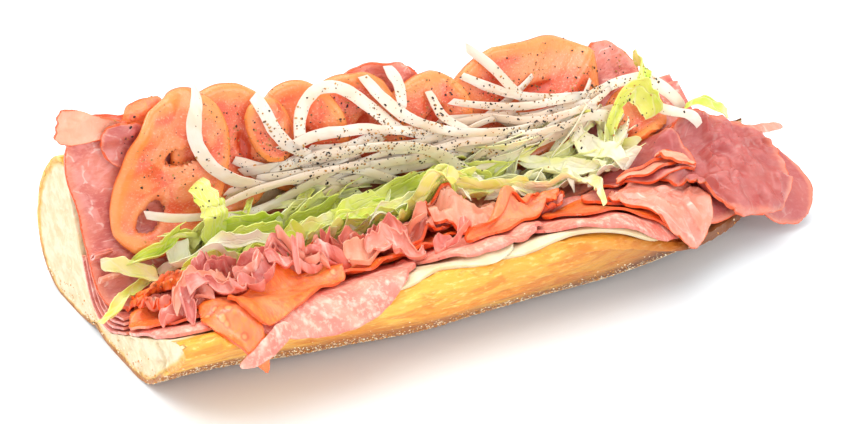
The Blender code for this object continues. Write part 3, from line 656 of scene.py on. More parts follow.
def rounded(points, count):
    """Places spread evenly along a smooth curve through the points."""
    ends = np.vstack([2 * points[0] - points[1], points, 2 * points[-1] - points[-2]])
    found = []
    for a, b, c, d in zip(ends, ends[1:], ends[2:], ends[3:]):
        for t in np.linspace(0, 1, 12, endpoint=False):
            found.append(0.5 * (2 * b + (c - a) * t + (2 * a - 5 * b + 4 * c - d) * t**2
                                + (3 * b - 3 * c + d - a) * t**3))
    found = np.array(found + [points[-1]])
    along = np.concatenate([[0], np.cumsum(np.linalg.norm(np.diff(found, axis=0), axis=1))])
    at = np.linspace(0, along[-1], count)
    return np.stack([np.interp(at, along, found[:, k]) for k in (0, 1)], axis=1)


def bread_lines():
    """The inside line and the outside line at the cut, each from the front rim to the back rim."""
    y, z, turn = (np.interp(INSIDE_U, GUIDE_U, line) for line in INSIDE_LINE[:3])
    inside = np.stack([y + np.sin(turn) * BELOW_GUIDE, z - np.cos(turn) * BELOW_GUIDE], axis=1)
    front = rounded(BREAD_OUTSIDE[HINGE_INDEX:], HALF_ROWS + 1)[::-1]
    back = rounded(BREAD_OUTSIDE[:HINGE_INDEX + 1], HALF_ROWS + 1)[::-1]
    outside = np.vstack([front[:-1], back])
    outside[:, 1] = np.maximum(outside[:, 1], 0)
    outside[0], outside[-1] = inside[0], inside[-1]
    return inside, outside


INSIDE_U = np.concatenate([np.linspace(-81.5, 0, HALF_ROWS, endpoint=False),
                           np.linspace(0, 67, HALF_ROWS + 1)])
INSIDE, OUTSIDE = bread_lines()
RING = np.vstack([INSIDE, OUTSIDE[-2:0:-1]])


def shaped_section(ring, outer, x):
    """The bread's outline at x, tapered to the tip and pressed down to stay under the fillings."""
    y, z = ring[:, 0], ring[:, 1]
    low_front = (1 - ease(-30, 5, y)) * (1 - ease(8, 40, z))
    back = ease(8, 26, y)
    y = np.where(outer, y + CUT_END_FOOT_SHIFT * (1 - ease(CUT_X, -20, x)) * low_front, y)
    run = max(0.0, (x - TAPER_START) / (TIP_X - TAPER_START))
    size = math.sqrt(max(1 - run * run, 0.0))
    back_size = float(np.interp(x, *BACK_HEIGHT)) / BREAD_OUTSIDE[0][1]
    y = TAPER_CENTRE_Y + (y - TAPER_CENTRE_Y) * size
    z = z * (size * (1 - back) + back_size * back) + TIP_LIFT * (1 - size) ** 2
    if x > TAPER_START - 20:
        values = guide_values(x)
        across, up = turned_line(*values)[:2]
        beyond = GUIDE_U > values[3]
        room_left = 1.5 + np.where(outer & (y < 0), 3.0, 0.0)
        roof = np.interp(y, across[beyond], up[beyond])
        z = np.minimum(z, roof - BELOW_GUIDE - room_left * ease(20, 60, x))
    return np.stack([y, z], axis=1)

# %% Bread mesh
STATIONS, CRUMB_ROWS, CRUST_DEPTH = 130, 26, 1.7
TIP_SHORT, MOST_PROUD, RIM_CRUST_U = 0.5, 0.8, (-76, -66)


def crust_relief(points):
    """Long creases and soft dents in the crust, in millimetres."""
    stretched = points * np.array((0.16, 1.0, 1.0))
    return 0.55 * lumps(stretched, 9, 1, 2) + 0.35 * lumps(points, 26, 2)


def crumb_relief(points):
    """How far the sliced crumb is pressed in, in millimetres: tufts, pores and a tear."""
    flat = points * np.array((0.6, 1.0, 1.0))
    tufts = 0.45 * lumps(flat, 5.5, 3, 2) + 0.25 * lumps(flat, 2.2, 4)
    pores = np.clip(lumps(flat, 3.6, 5) - 0.34, 0, 1) * 2.6
    y, z = points[:, 1], points[:, 2]
    tear_line = -38 + 0.55 * (z - 24) + 1.5 * np.sin(z * 0.7)
    tear = 1.6 * np.exp(-((y - tear_line) / 1.3) ** 2) * ease(12, 17, z) * (1 - ease(30, 34, z))
    hole = 2.6 * np.exp(-(((y + 35.5) / 1.6) ** 2 + ((z - 8.5) / 1.9) ** 2))
    return tufts + pores + tear + hole


def make_bread():
    """The roll: a skin wrapped round its stations, closed at the sliced end by the crumb."""
    mesh = bmesh.new()
    crust_layer = mesh.verts.layers.float.new("crust")
    raised_layer = mesh.verts.layers.float.new("raised")
    around = len(RING)
    outer = np.arange(around) > len(INSIDE) - 1
    share = np.linspace(0, 1, STATIONS + 1)
    xs = CUT_X + (TIP_X - TIP_SHORT - CUT_X) * (0.6 * share + 0.4 * np.sin(share * math.pi / 2))
    skin = []
    for x in xs:
        line = shaped_section(RING, outer, x)
        skin.append(np.column_stack([x - slant(x) * (line[:, 0] - HINGE_Y), line]))
    skin = np.array(skin)
    bottom = skin[:, :, 2].min(axis=1)
    along = np.gradient(skin, axis=0)
    round_way = np.roll(skin, -1, axis=1) - np.roll(skin, 1, axis=1)
    normal = np.cross(round_way, along)
    normal /= np.maximum(np.linalg.norm(normal, axis=2, keepdims=True), 1e-6)
    depth = np.zeros(skin.shape[:2])
    depth[:, outer] = crust_relief(skin[:, outer].reshape(-1, 3)).reshape(len(xs), -1)
    depth[:, ~outer] = 0.5 * lumps(skin[:, ~outer].reshape(-1, 3), 4.5, 6, 2).reshape(len(xs), -1) - 0.3
    flat_foot = ease(0.0, 3.0, skin[:, :, 2])
    depth *= flat_foot
    skin = skin + normal * np.where(depth > 0, np.minimum(depth, MOST_PROUD), depth)[:, :, None]
    skin[:, :, 2] = np.maximum(skin[:, :, 2], 0)
    grid = bmesh.ops.create_grid(mesh, x_segments=STATIONS, y_segments=around, size=1.0)["verts"]
    for vert in grid:
        i = round((vert.co.x + 1) / 2 * STATIONS)
        j = round((vert.co.y + 1) / 2 * around) % around
        vert.co = Vector(skin[i, j]) * MM
        vert[raised_layer] = skin[i, j, 2] - bottom[i]
        vert[crust_layer] = 1.0 if outer[j] else float(1 - ease(*RIM_CRUST_U, INSIDE_U[j]))
    rows = len(INSIDE) - 1
    sliced = bmesh.ops.create_grid(mesh, x_segments=rows, y_segments=CRUMB_ROWS, size=1.0)["verts"]
    inside_end = skin[0, :len(INSIDE)]
    outside_end = np.vstack([skin[0, :1], skin[0, len(INSIDE):][::-1], skin[0, len(INSIDE) - 1:len(INSIDE)]])
    places = []
    for vert in sliced:
        i = round((vert.co.x + 1) / 2 * rows)
        t = (vert.co.y + 1) / 2
        t = t + 0.16 * math.sin(math.pi * t) * t
        point = inside_end[i] * (1 - t) + outside_end[i] * t
        wide = np.linalg.norm(outside_end[i] - inside_end[i])
        places.append((vert, point, wide * (1 - t), t, wide))
    pressed = crumb_relief(np.array([p[1] for p in places]))
    for (vert, point, from_crust, t, wide), deep in zip(places, pressed):
        inner = min(wide * t, from_crust)
        point = point + np.array((1.0, CUT_SLANT, 0)) * max(deep, -0.5) * float(ease(0.0, 2.2, inner))
        vert.co = Vector(point) * MM
        vert[raised_layer] = point[2]
        vert[crust_layer] = max(0.0, 1.0 - from_crust / (3 * CRUST_DEPTH))
    bmesh.ops.remove_doubles(mesh, verts=list(mesh.verts), dist=1e-6)
    bmesh.ops.holes_fill(mesh, edges=[e for e in mesh.edges if e.is_boundary], sides=0)
    bmesh.ops.triangulate(mesh, faces=[f for f in mesh.faces if len(f.verts) > 4])
    return add_piece("roll", mesh, "bread_crust", "bread")


bread = make_bread()
print("roll:", len(bread.data.polygons), "faces")

# %% [markdown]
# ## The pile
#
# A slice of ham has no fixed shape: it takes the shape of what it lies on. A raster of one millimetre cells
# remembers how high the fillings stand. A new slice is read off it, smoothed as limp meat smooths over a
# step, kept from sinking in, and then recorded for the slices that follow. That is quicker and steadier
# than a cloth simulation of 34 slices.

# %% The pile
PILE_X = np.arange(-164.0, 214.0)
PILE_U = np.arange(-128.0, 129.0)


class Pile:
    """The height of the fillings over the guide surface."""

    def __init__(self):
        self.top = np.zeros((len(PILE_X), len(PILE_U)))
        self.soft = self.top

    def read(self, x, u):
        """How high the pile is at these places."""
        return between(self.soft, PILE_X, PILE_U, x, u)

    def cover(self, x, u, h, raise_by=1.0):
        """Raises the pile towards h at these places and the cells beside them."""
        before = self.top.copy()
        i = np.rint(x.ravel() - PILE_X[0]).astype(int)
        j = np.rint(u.ravel() - PILE_U[0]).astype(int)
        good = (i > 0) & (i < len(PILE_X) - 1) & (j > 0) & (j < len(PILE_U) - 1)
        for di, dj in ((0, 0), (1, 0), (-1, 0), (0, 1), (0, -1)):
            np.maximum.at(self.top, (i[good] + di, j[good] + dj), h.ravel()[good])
        self.top = before + (self.top - before) * raise_by
        soft = self.top
        for axis in (0, 1):
            soft = (np.roll(soft, 1, axis) + 2 * soft + np.roll(soft, -1, axis)) / 4
        self.soft = soft


PILE = Pile()


def trough_floor():
    """How far the bread's trough lies under the guide surface at each u."""
    y, z = INSIDE_LINE[0], INSIDE_LINE[1]
    middle = GUIDE[int((0 - GUIDE_X[0]) / 2)]
    depth = []
    for k in range(len(GUIDE_U)):
        along = (y - middle[0][k]) * np.cos(middle[3][k]) + (z - middle[1][k]) * np.sin(middle[3][k])
        height = (z - middle[1][k]) * np.cos(middle[3][k]) - (y - middle[0][k]) * np.sin(middle[3][k])
        depth.append(height[np.argmin(np.abs(along) + np.abs(height) * 0.2)])
    return np.interp(PILE_U, GUIDE_U, np.where(np.abs(GUIDE_U) < 30, np.minimum(depth, 0), 0))


PILE.top = trough_floor()[None, :] * (1 - ease(60, 120, PILE_X))[:, None]
PILE.soft = PILE.top


def drape(x, u, limp):
    """The heights at which a limp sheet with these grid places lies on the pile."""
    bed = PILE.read(x, u) + GAP
    h = bed.copy()
    for _ in range(limp):
        even = h.copy()
        even[1:-1] = (h[:-2] + 2 * h[1:-1] + h[2:]) / 4
        h = even.copy()
        even[:, 1:-1] = (h[:, :-2] + 2 * h[:, 1:-1] + h[:, 2:]) / 4
        h = np.maximum(even, bed)
    return h


def finer(grid, factor=3):
    """The grid with places in between."""
    rows, columns = grid.shape
    i = np.linspace(0, rows - 1, (rows - 1) * factor + 1)
    j = np.linspace(0, columns - 1, (columns - 1) * factor + 1)
    i, j = np.meshgrid(i, j, indexing="ij")
    return between(grid, np.arange(rows), np.arange(columns), i, j)


print("deepest point of the trough:", round(float(PILE.top.min()), 1), "mm under the guide")

# %% [markdown]
# ## From a grid of places to a sheet
#
# All fillings are sheets or ribbons, so one function makes them all. A bmesh grid is extruded once to give
# the sheet its two faces, and both are moved half a thickness from the middle surface along its own normal.
# A fold or a curl is then only a matter of where the middle surface goes. What the knife touched is cut
# with a bisect and closed again.

# %% Sheets


def sheet_mesh(x, u, h, thick, own, grain, rim, tone, gone=None, cut=None):
    """A closed sheet round the middle surface at these places, with its attributes."""
    middle = place(x, u, h)
    ways = np.cross(np.gradient(middle, axis=0), np.gradient(middle, axis=1))
    ways /= np.maximum(np.linalg.norm(ways, axis=2, keepdims=True), 1e-6)
    thick = np.broadcast_to(thick, x.shape)[:, :, None]
    low, high = middle - ways * thick / 2, middle + ways * thick / 2
    rows, columns = x.shape
    mesh = bmesh.new()
    layers = mesh.verts.layers
    own_layer, grain_layer = layers.float_vector.new("own"), layers.float_vector.new("grain")
    rim_layer, tone_layer = layers.float.new("rim"), layers.float.new("tone")
    where = {}
    for vert in bmesh.ops.create_grid(mesh, x_segments=rows - 1, y_segments=columns - 1, size=1.0)["verts"]:
        i, j = round((vert.co.x + 1) / 2 * (rows - 1)), round((vert.co.y + 1) / 2 * (columns - 1))
        vert[own_layer], vert[grain_layer] = own[i, j] * MM, grain[i, j] * MM
        vert[rim_layer], vert[tone_layer] = rim[i, j], tone[i, j]
        where[vert] = (i, j)
    if gone is not None:
        lost = [f for f in mesh.faces if gone[min(where[v] for v in f.verts)]]
        where_left = {v for f in mesh.faces if f not in set(lost) for v in f.verts}
        where = {v: p for v, p in where.items() if v in where_left}
        bmesh.ops.delete(mesh, geom=lost, context="FACES")
    for vert, spot in where.items():
        vert.co = (*[p / (n - 1) for p, n in zip(spot, (rows, columns))], 0)
    raised = bmesh.ops.extrude_face_region(mesh, geom=list(mesh.faces))["geom"]
    for vert in raised:
        if isinstance(vert, bmesh.types.BMVert):
            spot = round(vert.co.x * (rows - 1)), round(vert.co.y * (columns - 1))
            vert.co = Vector(high[spot]) * MM
    for vert, spot in where.items():
        vert.co = Vector(low[spot]) * MM
    if cut is not None:
        slice_off(mesh, cut)
    return mesh


def slice_off(mesh, offset=0.0):
    """Takes off what lies past the knife's slanted cut, and closes the cut."""
    normal = Vector((-1.0, -CUT_SLANT, 0.0)).normalized()
    point = Vector((CUT_X + offset, HINGE_Y, 0.0)) * MM
    everything = list(mesh.verts) + list(mesh.edges) + list(mesh.faces)
    bmesh.ops.bisect_plane(mesh, geom=everything, dist=1e-7, plane_co=point, plane_no=normal,
                           clear_outer=True)
    open_edges = [e for e in mesh.edges if e.is_boundary]
    if open_edges:
        bmesh.ops.holes_fill(mesh, edges=open_edges, sides=0)
        bmesh.ops.triangulate(mesh, faces=[f for f in mesh.faces if len(f.verts) > 4])

# %% [markdown]
# ## Slices
#
# A slice is a grid pressed into an oval. Its edge wanders as the solid's does, and frays on top of that.
# Ruffles are waves in its height, and a fold is a roll of the sheet round a small radius along a straight
# line.

# %% Slices
THICKNESS = {"provolone": 1.7, "salami": 1.1, "hot_capicola": 1.0, "ham": 1.1, "tomato": 4.4}
USUAL = {"provolone": {"fray": 0.0, "crinkle": 0}, "tomato": {"fray": 0.0, "crinkle": 0.3, "limp": 50}}
RIM_CROWD = 1.35


def edge_wobble(direction, seed, amount):
    """The slice's wandering edge, as a share of its size in each direction."""
    ring = np.stack([np.cos(direction) * 1.3, np.sin(direction) * 1.3,
                     np.full_like(direction, seed * 7.31)], axis=-1)
    found = np.empty(direction.shape)
    for index in np.ndindex(direction.shape):
        spot = Vector(ring[index])
        found[index] = 1 + amount * (noise.noise(spot) + 0.5 * noise.noise(spot * 2.7))
    return found


def frayed(direction, seed, amount):
    """Fine tears in the edge, as a share of the slice's size in each direction."""
    ring = np.stack([np.cos(direction), np.sin(direction), np.full_like(direction, seed * 0.37)], axis=-1)
    return 1 + amount * lumps(ring, 0.16, seed, 2)


def fold_over(dx, du, lift, angle, distance, radius, most):
    """Rolls what lies past a line back over the rest. The line is square to the angle, that far out."""
    across = np.array((math.cos(math.radians(angle)), math.sin(math.radians(angle))))
    past = dx * across[0] + du * across[1] - distance
    turn = np.clip(past / radius, 0, math.radians(most))
    rest = np.maximum(past - radius * math.radians(most), 0)
    along = np.where(past > 0, radius * np.sin(turn) + rest * np.cos(math.radians(most)), past)
    rise = np.where(past > 0, radius * (1 - np.cos(turn)) + rest * np.sin(math.radians(most)), 0)
    return dx + (along - past) * across[0], du + (along - past) * across[1], lift + rise


def turned(dx, du, degrees):
    """Places on a slice after it is turned about its middle."""
    c, n = math.cos(math.radians(degrees)), math.sin(math.radians(degrees))
    return dx * c - du * n, dx * n + du * c


def within(dx, du, centre_x, centre_u, half_x, half_u, tilt, seed):
    """How far out places are in a ragged oval: under 1 is inside."""
    along, across = turned(dx - centre_x, du - centre_u, -tilt)
    rough = lumps(np.stack([dx, du], axis=-1), 6, seed)
    return np.sqrt((along / half_x) ** 2 + (across / half_u) ** 2) + 0.2 * rough


def lay_slice(name, kind, centre, half, turn=0.0, grid=46, edge=0.1, fray=0.012, ruffle=0.0, waves=(0, 0),
              crinkle=0.5, corner=0.0, seed=1, folds=(), limp=12, holes=(), pockets=(), tone=0.0,
              knife=True, nodes=None, lift=0.0, taper=0.0, crumple=(0.0, 10.0)):
    """A slice laid on the pile, and the pile raised by it."""
    thick = THICKNESS[kind]
    a, b = np.meshgrid(np.linspace(-1, 1, grid + 1), np.linspace(-1, 1, grid + 1), indexing="ij")
    a, b = np.sin(a * RIM_CROWD) / math.sin(RIM_CROWD), np.sin(b * RIM_CROWD) / math.sin(RIM_CROWD)
    s, t = a * np.sqrt(1 - b * b / 2), b * np.sqrt(1 - a * a / 2)
    direction = np.arctan2(t, s)
    ragged = edge_wobble(direction, seed, edge) * frayed(direction, seed, fray)
    out = ragged * (1 + corner * 4 * s * s * t * t)
    dx, du = s * half[0] * out * (1 - taper * (1 - t) / 2), t * half[1] * out
    rim = np.maximum(np.abs(a), np.abs(b))
    own = np.stack([dx, du, np.full_like(dx, seed * 40.0)], axis=-1)
    radius = np.sqrt(s * s + t * t)
    grain = np.stack([np.cos(direction) * 100, np.sin(direction) * 100, radius * 60 + seed * 400], axis=-1)
    wave = 0.5 + 0.5 * np.sin(math.pi * (waves[0] * s + waves[1] * t) + seed)
    rise = lift + ruffle * wave
    if crinkle:
        rise = rise + crinkle * (0.5 + 0.5 * lumps(own, 13, seed, 2)) * (0.35 + 0.65 * rim**3)
    if crumple[0]:
        rise = rise + crumple[0] * np.clip(1 - 1.8 * np.abs(lumps(own, crumple[1], seed + 9, 2)), 0, 1) ** 2
    shade = np.full_like(dx, tone)
    body = np.full_like(dx, thick)
    if kind == "tomato":
        body *= np.sqrt(1 - 0.8 * np.clip((rim - 0.92) / 0.08, 0, 1) ** 2)
    gone = np.zeros((grid, grid), bool)
    for hole in holes:
        reach = within(dx, du, *hole, seed + 3)
        cell = (reach[1:, 1:] + reach[:-1, 1:] + reach[1:, :-1] + reach[:-1, :-1]) / 4 < 1
        count = np.zeros(dx.shape)
        for part in (count[1:, 1:], count[:-1, 1:], count[1:, :-1], count[:-1, :-1]):
            part += cell
        share = np.where((count > 0) & (count < 4), 1 / np.maximum(reach, 0.5), 1.0)
        dx, du = hole[0] + (dx - hole[0]) * share, hole[1] + (du - hole[1]) * share
        body *= 1 - 0.45 * np.exp(-(((reach - 1) / 0.2) ** 2))
        gone |= cell
    for *pocket, deep in pockets:
        reach = within(dx, du, *pocket, seed + 5)
        body = np.maximum(body - deep * (1 - ease(0.6, 1.1, reach)), 0.8)
        shade = np.maximum(shade, 1 - ease(0.7, 1.1, reach))
    for fold in folds:
        dx, du, rise = fold_over(dx, du, rise, *fold)
    dx, du = turned(dx, du, turn)
    x, u = centre[0] + dx, centre[1] + du
    h = drape(x, u, limp) + rise + thick / 2
    PILE.cover(finer(x), finer(u), finer(h + thick / 2))
    cut = random.Random(seed).uniform(-0.8, 1.2) if knife else None
    mesh = sheet_mesh(x, u, h - (thick - body) / 2, body, own, grain, rim, shade, gone if holes else None,
                      cut)
    return add_piece(name + "_slice", mesh, kind, *(nodes or (name,)))


def lay_all(rows):
    """Lays these slices in turn. What a row says wins over what is usual for its kind."""
    for name, kind, centre, half, more in rows:
        lay_slice(name, kind, centre, half, **{**USUAL.get(kind, {}), **more})

# %% [markdown]
# ## Ribbons
#
# Lettuce shreds, onion arcs, ruffled ham edges and the torn tip of the ham are ribbons: a path of places, a
# width that narrows at the ends, and a roll that stands the ribbon on its edge. A ribbon is stiff across
# and bends along its length, so its height is one smooth line that clears everything under it.

# %% Ribbons
FRILL_THICK = 0.7


def along_path(path, steps, smooth):
    """Evenly spread points along a path with its corners rounded, and how far along each one is."""
    path = np.array(path, dtype=float)
    along = np.concatenate([[0], np.cumsum(np.linalg.norm(np.diff(path, axis=0), axis=1))])
    at = np.linspace(0, along[-1], steps + 1)
    line = np.stack([np.interp(at, along, path[:, k]) for k in (0, 1)], axis=1)
    for _ in range(smooth):
        line[1:-1] = (line[:-2] + 2 * line[1:-1] + line[2:]) / 4
    run = np.gradient(line, axis=0)
    return at, line, run / np.linalg.norm(run, axis=1, keepdims=True)


def ribbon(path, width, thick, arch=0.0, steps=22, across=6, tail=0.35, roll=(0, 0), cup=0.0, wave=0.0,
           seed=0, tone=0.3, stiff=12, stacked=0.5, curl=0.0, smooth=7, slope=0.0, jag=0.12, tear=5.0,
           uneven=0.0):
    """The grids that sheet_mesh takes, for a ribbon laid on the pile."""
    at, line, run = along_path(path, steps, smooth)
    side = np.stack([-run[:, 1], run[:, 0]], axis=1)
    share = np.linspace(0, 1, steps + 1)
    ends = np.minimum(share, 1 - share)
    c = np.linspace(-1, 1, across + 1)[None, :]
    far = np.repeat(at[:, None], across + 1, 1)
    swell = 1 + uneven * lumps(np.stack([at, np.full_like(at, seed * 5.0)], axis=1), 10, seed + 1)
    half = (width / 2 * swell * (tail + (1 - tail) * np.sqrt(np.minimum(1, ends * 5))))[:, None]
    ragged = 1 + jag * lumps(np.stack([far, np.sign(c) * 20 + seed * 9 + 0 * half], axis=-1), tear, seed, 2)
    lean = np.radians(roll[0] + (roll[1] - roll[0]) * share)[:, None] + curl * 0.5 * c
    flat = c * half * np.cos(lean) * ragged
    x = line[:, :1] + side[:, :1] * flat + run[:, :1] * c * slope
    u = line[:, 1:] + side[:, 1:] * flat + run[:, 1:] * c * slope
    stand = half * (np.sin(lean) * c + np.abs(np.sin(lean))) * ragged
    bed = (PILE.read(x, u) + GAP).max(axis=1)
    base = bed.copy()
    for _ in range(stiff):
        base[1:-1] = np.maximum((base[:-2] + 2 * base[1:-1] + base[2:]) / 4, bed[1:-1])
    for _ in range(3):
        base[1:-1] = (base[:-2] + 2 * base[1:-1] + base[2:]) / 4
    rise = base + arch * np.sqrt(np.sin(math.pi * share))
    wobble = wave * lumps(np.stack([far, c * 4 + np.zeros_like(x)], axis=-1), 7, seed + 2)
    h = rise[:, None] + stand + cup * c * c * half / 3 + wobble * (0.4 + np.abs(c)) + thick / 2
    PILE.cover(finer(x), finer(u), finer(h + thick / 2), stacked)
    body = thick * np.sqrt(1 - 0.6 * c**2) * np.minimum(1, 0.6 + ends * 4)[:, None]
    own = np.stack([far, c * half, np.full_like(x, seed * 31.0)], axis=-1)
    grain = own * np.array((0.25, 1.0, 1.0))
    rim = np.maximum(np.abs(c) + np.zeros_like(x), 1 - ends[:, None] * steps / 2)
    return x, u, h, body, own, grain, np.clip(rim, 0, 1), np.full_like(x, tone)


def frill(path, width, sway, length, roll, seed, tone):
    """A standing ribbon that swings from side to side, as a thin slice's edge does where it is pushed."""
    reach = sum(math.dist(a, b) for a, b in zip(path, path[1:]))
    steps = int(reach * 1.8)
    at, line, run = along_path(path, steps, 6)
    spot = np.stack([at, 0 * at], axis=1)
    aside = sway * (0.5 + 1.2 * np.abs(lumps(spot, 17, seed + 5)))
    aside *= np.sin(2 * math.pi * at / length + 5 * lumps(spot, 12, seed))
    swung = line + np.stack([-run[:, 1], run[:, 0]], axis=1) * aside[:, None]
    return ribbon(swung, width, FRILL_THICK, steps=steps, across=10, tail=0.6, roll=roll, seed=seed,
                  tone=tone, wave=3.0, stacked=0.6, curl=1.8, smooth=1, stiff=4, jag=0.3, tear=3.0,
                  uneven=0.9)


def softened(grids, most=0.9):
    """The same grids without the coloured line at the rim."""
    return (*grids[:6], grids[6] * most, grids[7])


def gather(name, kind, meshes, *nodes):
    """Joins many small meshes into one piece."""
    whole = bmesh.new()
    for mesh in meshes:
        bmesh.ops.recalc_face_normals(mesh, faces=list(mesh.faces))
        data = bpy.data.meshes.new("part")
        mesh.to_mesh(data)
        mesh.free()
        whole.from_mesh(data)
        bpy.data.meshes.remove(data)
    return add_piece(name, whole, kind, *nodes)

# %% [markdown]
# ## Ham in the trough
#
# Bunched ham fills the crease of the roll. At the sliced end its folds show on edge, so it is a stack of
# thin layers that wave across the trough, each one smaller than the one below.

# %% Ham in the trough


def lay_trough_ham():
    """Four layers of ham in the trough, each on the one before."""
    rows, columns = 90, 40
    for layer in range(4):
        wide = 24 - 2.6 * layer
        x, across = np.meshgrid(np.linspace(CUT_X - 8, 122, rows), np.linspace(-1, 1, columns), indexing="ij")
        u = across * wide * (1 - 0.3 * ease(60, 120, x)) + 1.5 * math.sin(layer * 2)
        spot = np.stack([x * 0.35, u], axis=-1)
        rise = (0.9 + 0.5 * lumps(spot, 5, layer)) * (1 - ease(60, 120, x) * 0.6)
        h = drape(x, u, 8) + rise * (0.4 if layer == 0 else 1) + 0.5
        PILE.cover(finer(x), finer(u), finer(h + 0.5))
        own = np.stack([x, u, np.full_like(x, 90.0 * layer)], axis=-1)
        mesh = sheet_mesh(x, u, h, 1.0, own, own, np.abs(across) * 0.95, np.zeros_like(x),
                          cut=0.6 * layer - 0.4)
        add_piece(f"trough_ham_{layer + 1}", mesh, "ham", "ham_folded")
    PILE.top = np.maximum(PILE.top, 0)
    PILE.soft = np.maximum(PILE.soft, 0)


lay_trough_ham()
print("pile over the trough:", round(float(PILE.top[100:160, 120:136].mean()), 1), "mm")

# %% [markdown]
# ## The slices, from the bread up
#
# The order is the order on the real roll, because each slice rests on the ones before it.

# %% Lay the lower slices
LOWER = (
    ("cheese_left", "provolone", (-96, -46), (37, 27), {"edge": 0.03, "seed": 1}),
    ("cheese_right", "provolone", (34, -47.5), (38, 25), {"corner": 0.4, "edge": 0.03, "seed": 2}),
    ("cheese_middle", "provolone", (-22, -46.5), (29, 25), {"corner": 0.5, "edge": 0.03, "seed": 3}),
    ("salami_left", "salami", (-112, -42), (26, 30), {"edge": 0.05, "seed": 4}),
    ("salami_right", "salami", (54, -48.5), (38, 26.5),
     {"edge": 0.05, "seed": 6, "ruffle": 1.2, "waves": (4, 0)}),
    ("salami_middle", "salami", (2, -49), (31, 25),
     {"edge": 0.05, "seed": 7, "ruffle": 1.0, "waves": (3, 0)}),
    ("salami_front", "salami", (-72, -60), (44, 25),
     {"turn": 6, "edge": 0.05, "seed": 8, "grid": 60, "crinkle": 1.6}),
    ("capicola_left", "hot_capicola", (-110, -34), (28, 28), {"seed": 9, "crinkle": 1.5}),
    ("capicola_back", "hot_capicola", (-98, 38), (28, 38), {"seed": 10}),
    ("capicola_right", "hot_capicola", (70, -48), (32, 20), {"seed": 11, "crinkle": 1.6}),
    ("capicola_band", "hot_capicola", (-38, -38), (48, 18),
     {"turn": 14, "seed": 12, "ruffle": 2.2, "waves": (5, 1), "crinkle": 2.0}),
    ("capicola_drape", "hot_capicola", (-112, -76), (11, 17),
     {"turn": 16, "taper": 0.8, "edge": 0.1, "fray": 0.03, "seed": 13, "ruffle": 1, "waves": (1, 0)}),
    ("ham_back_left", "ham", (-109, 34), (24.5, 42),
     {"corner": 0.32, "edge": 0.06, "seed": 14, "grid": 60, "knife": False, "ruffle": 1, "waves": (1, 1),
      "tone": -0.3}),
    ("ham_back_middle", "ham", (-9, 56), (24, 20),
     {"edge": 0.15, "seed": 15, "ruffle": 2.5, "waves": (3, 1), "crinkle": 2.0, "tone": 0.3}),
    ("ham_front_left", "ham", (-94, -32), (34, 22),
     {"edge": 0.2, "fray": 0.05, "seed": 16, "grid": 90, "limp": 4, "ruffle": 1.5, "waves": (3, 2),
      "crumple": (6.5, 9), "tone": 0.3}),
    ("ham_front_middle", "ham", (-30, -22), (36, 22),
     {"edge": 0.2, "fray": 0.05, "seed": 17, "grid": 90, "limp": 4, "ruffle": 1.5, "waves": (3, 1),
      "crumple": (7, 11), "tone": -0.2}),
    ("ham_front_right", "ham", (28, -18), (30, 22),
     {"edge": 0.15, "fray": 0.03, "seed": 18, "grid": 70, "limp": 6, "ruffle": 1.5, "waves": (2, 1),
      "crumple": (4, 12), "tone": -0.3}),
    ("ham_back_right", "ham", (88, 24), (22, 21),
     {"edge": 0.08, "seed": 19, "tone": -0.3, "folds": ((115, 14, 2.0, 165),)}),
    ("ham_end", "ham", (142, -34), (23, 21), {"edge": 0.08, "fray": 0.02, "seed": 20, "tone": -0.9}),
)
lay_all(LOWER)
print("lower slices:", len(LOWER), "laid")

# %% [markdown]
# ## Loose corners, lobes and ruffles
#
# Thin slices are never put down flat. Corners fold over and show a paler inside, a slice of capicola slides
# out over the rim, and where ham is pushed together its torn edges stand up in small frills. Each of these
# belongs to a slice that is already there, so it stands for the same solid.

# %% Corners and lobes
CORNERS = (
    ("capicola_lobe", "hot_capicola", (-84, -63), (30, 10),
     {"nodes": ("capicola_band",), "turn": 20, "seed": 31, "ruffle": 0.8, "waves": (3, 0),
      "crinkle": 1.2}),
    ("capicola_torn", "hot_capicola", (-112, -16), (17, 14),
     {"nodes": ("capicola_left",), "edge": 0.2, "fray": 0.08, "seed": 32, "grid": 70, "limp": 4,
      "crumple": (4, 5)}),
    ("capicola_corner", "hot_capicola", (-103, 75), (10, 6),
     {"nodes": ("capicola_back",), "turn": 20, "seed": 33, "knife": False}),
    ("ham_corner", "ham", (-123, 75), (7, 12),
     {"nodes": ("ham_back_left",), "turn": 78, "taper": 0.7, "corner": 0.3, "edge": 0.2, "seed": 34,
      "knife": False, "crinkle": 2.4, "tone": 0.8}),
    ("ham_corner_2", "ham", (-112, 66), (11, 9),
     {"nodes": ("ham_back_left",), "turn": -30, "seed": 35, "knife": False, "crinkle": 2.4,
      "tone": -0.6}),
    ("ham_rolled", "ham", (12, -18), (22, 26),
     {"nodes": ("ham_front_right",), "turn": -20, "edge": 0.14, "fray": 0.03, "seed": 36, "grid": 70,
      "crumple": (3, 9), "tone": 0.8, "folds": ((160, 10, 2.4, 170),)}),
    ("capicola_fold", "hot_capicola", (25, -42), (36, 9.5),
     {"turn": 38, "edge": 0.05, "seed": 29, "crinkle": 0.8, "tone": 0.45,
      "folds": ((90, 2.5, 1.6, 190),)}),
)
lay_all(CORNERS)

STRIP = ((-96, -79), (-104, -82), (-111, -85), (-117, -88))
strip = ribbon(STRIP, 5, 0.8, tail=0.3, wave=0.2, tone=0.0, stiff=1)
add_piece("salami_strip", sheet_mesh(*strip), "salami", "salami_front")
print("corners:", len(CORNERS))

# %% Ruffles
LOOPS = (
    (((-142, 20), (-134, 20), (-127, 21)), 6.0, 0.1), (((-142, 8), (-134, 8), (-126, 9)), 4.0, 0.4),
)


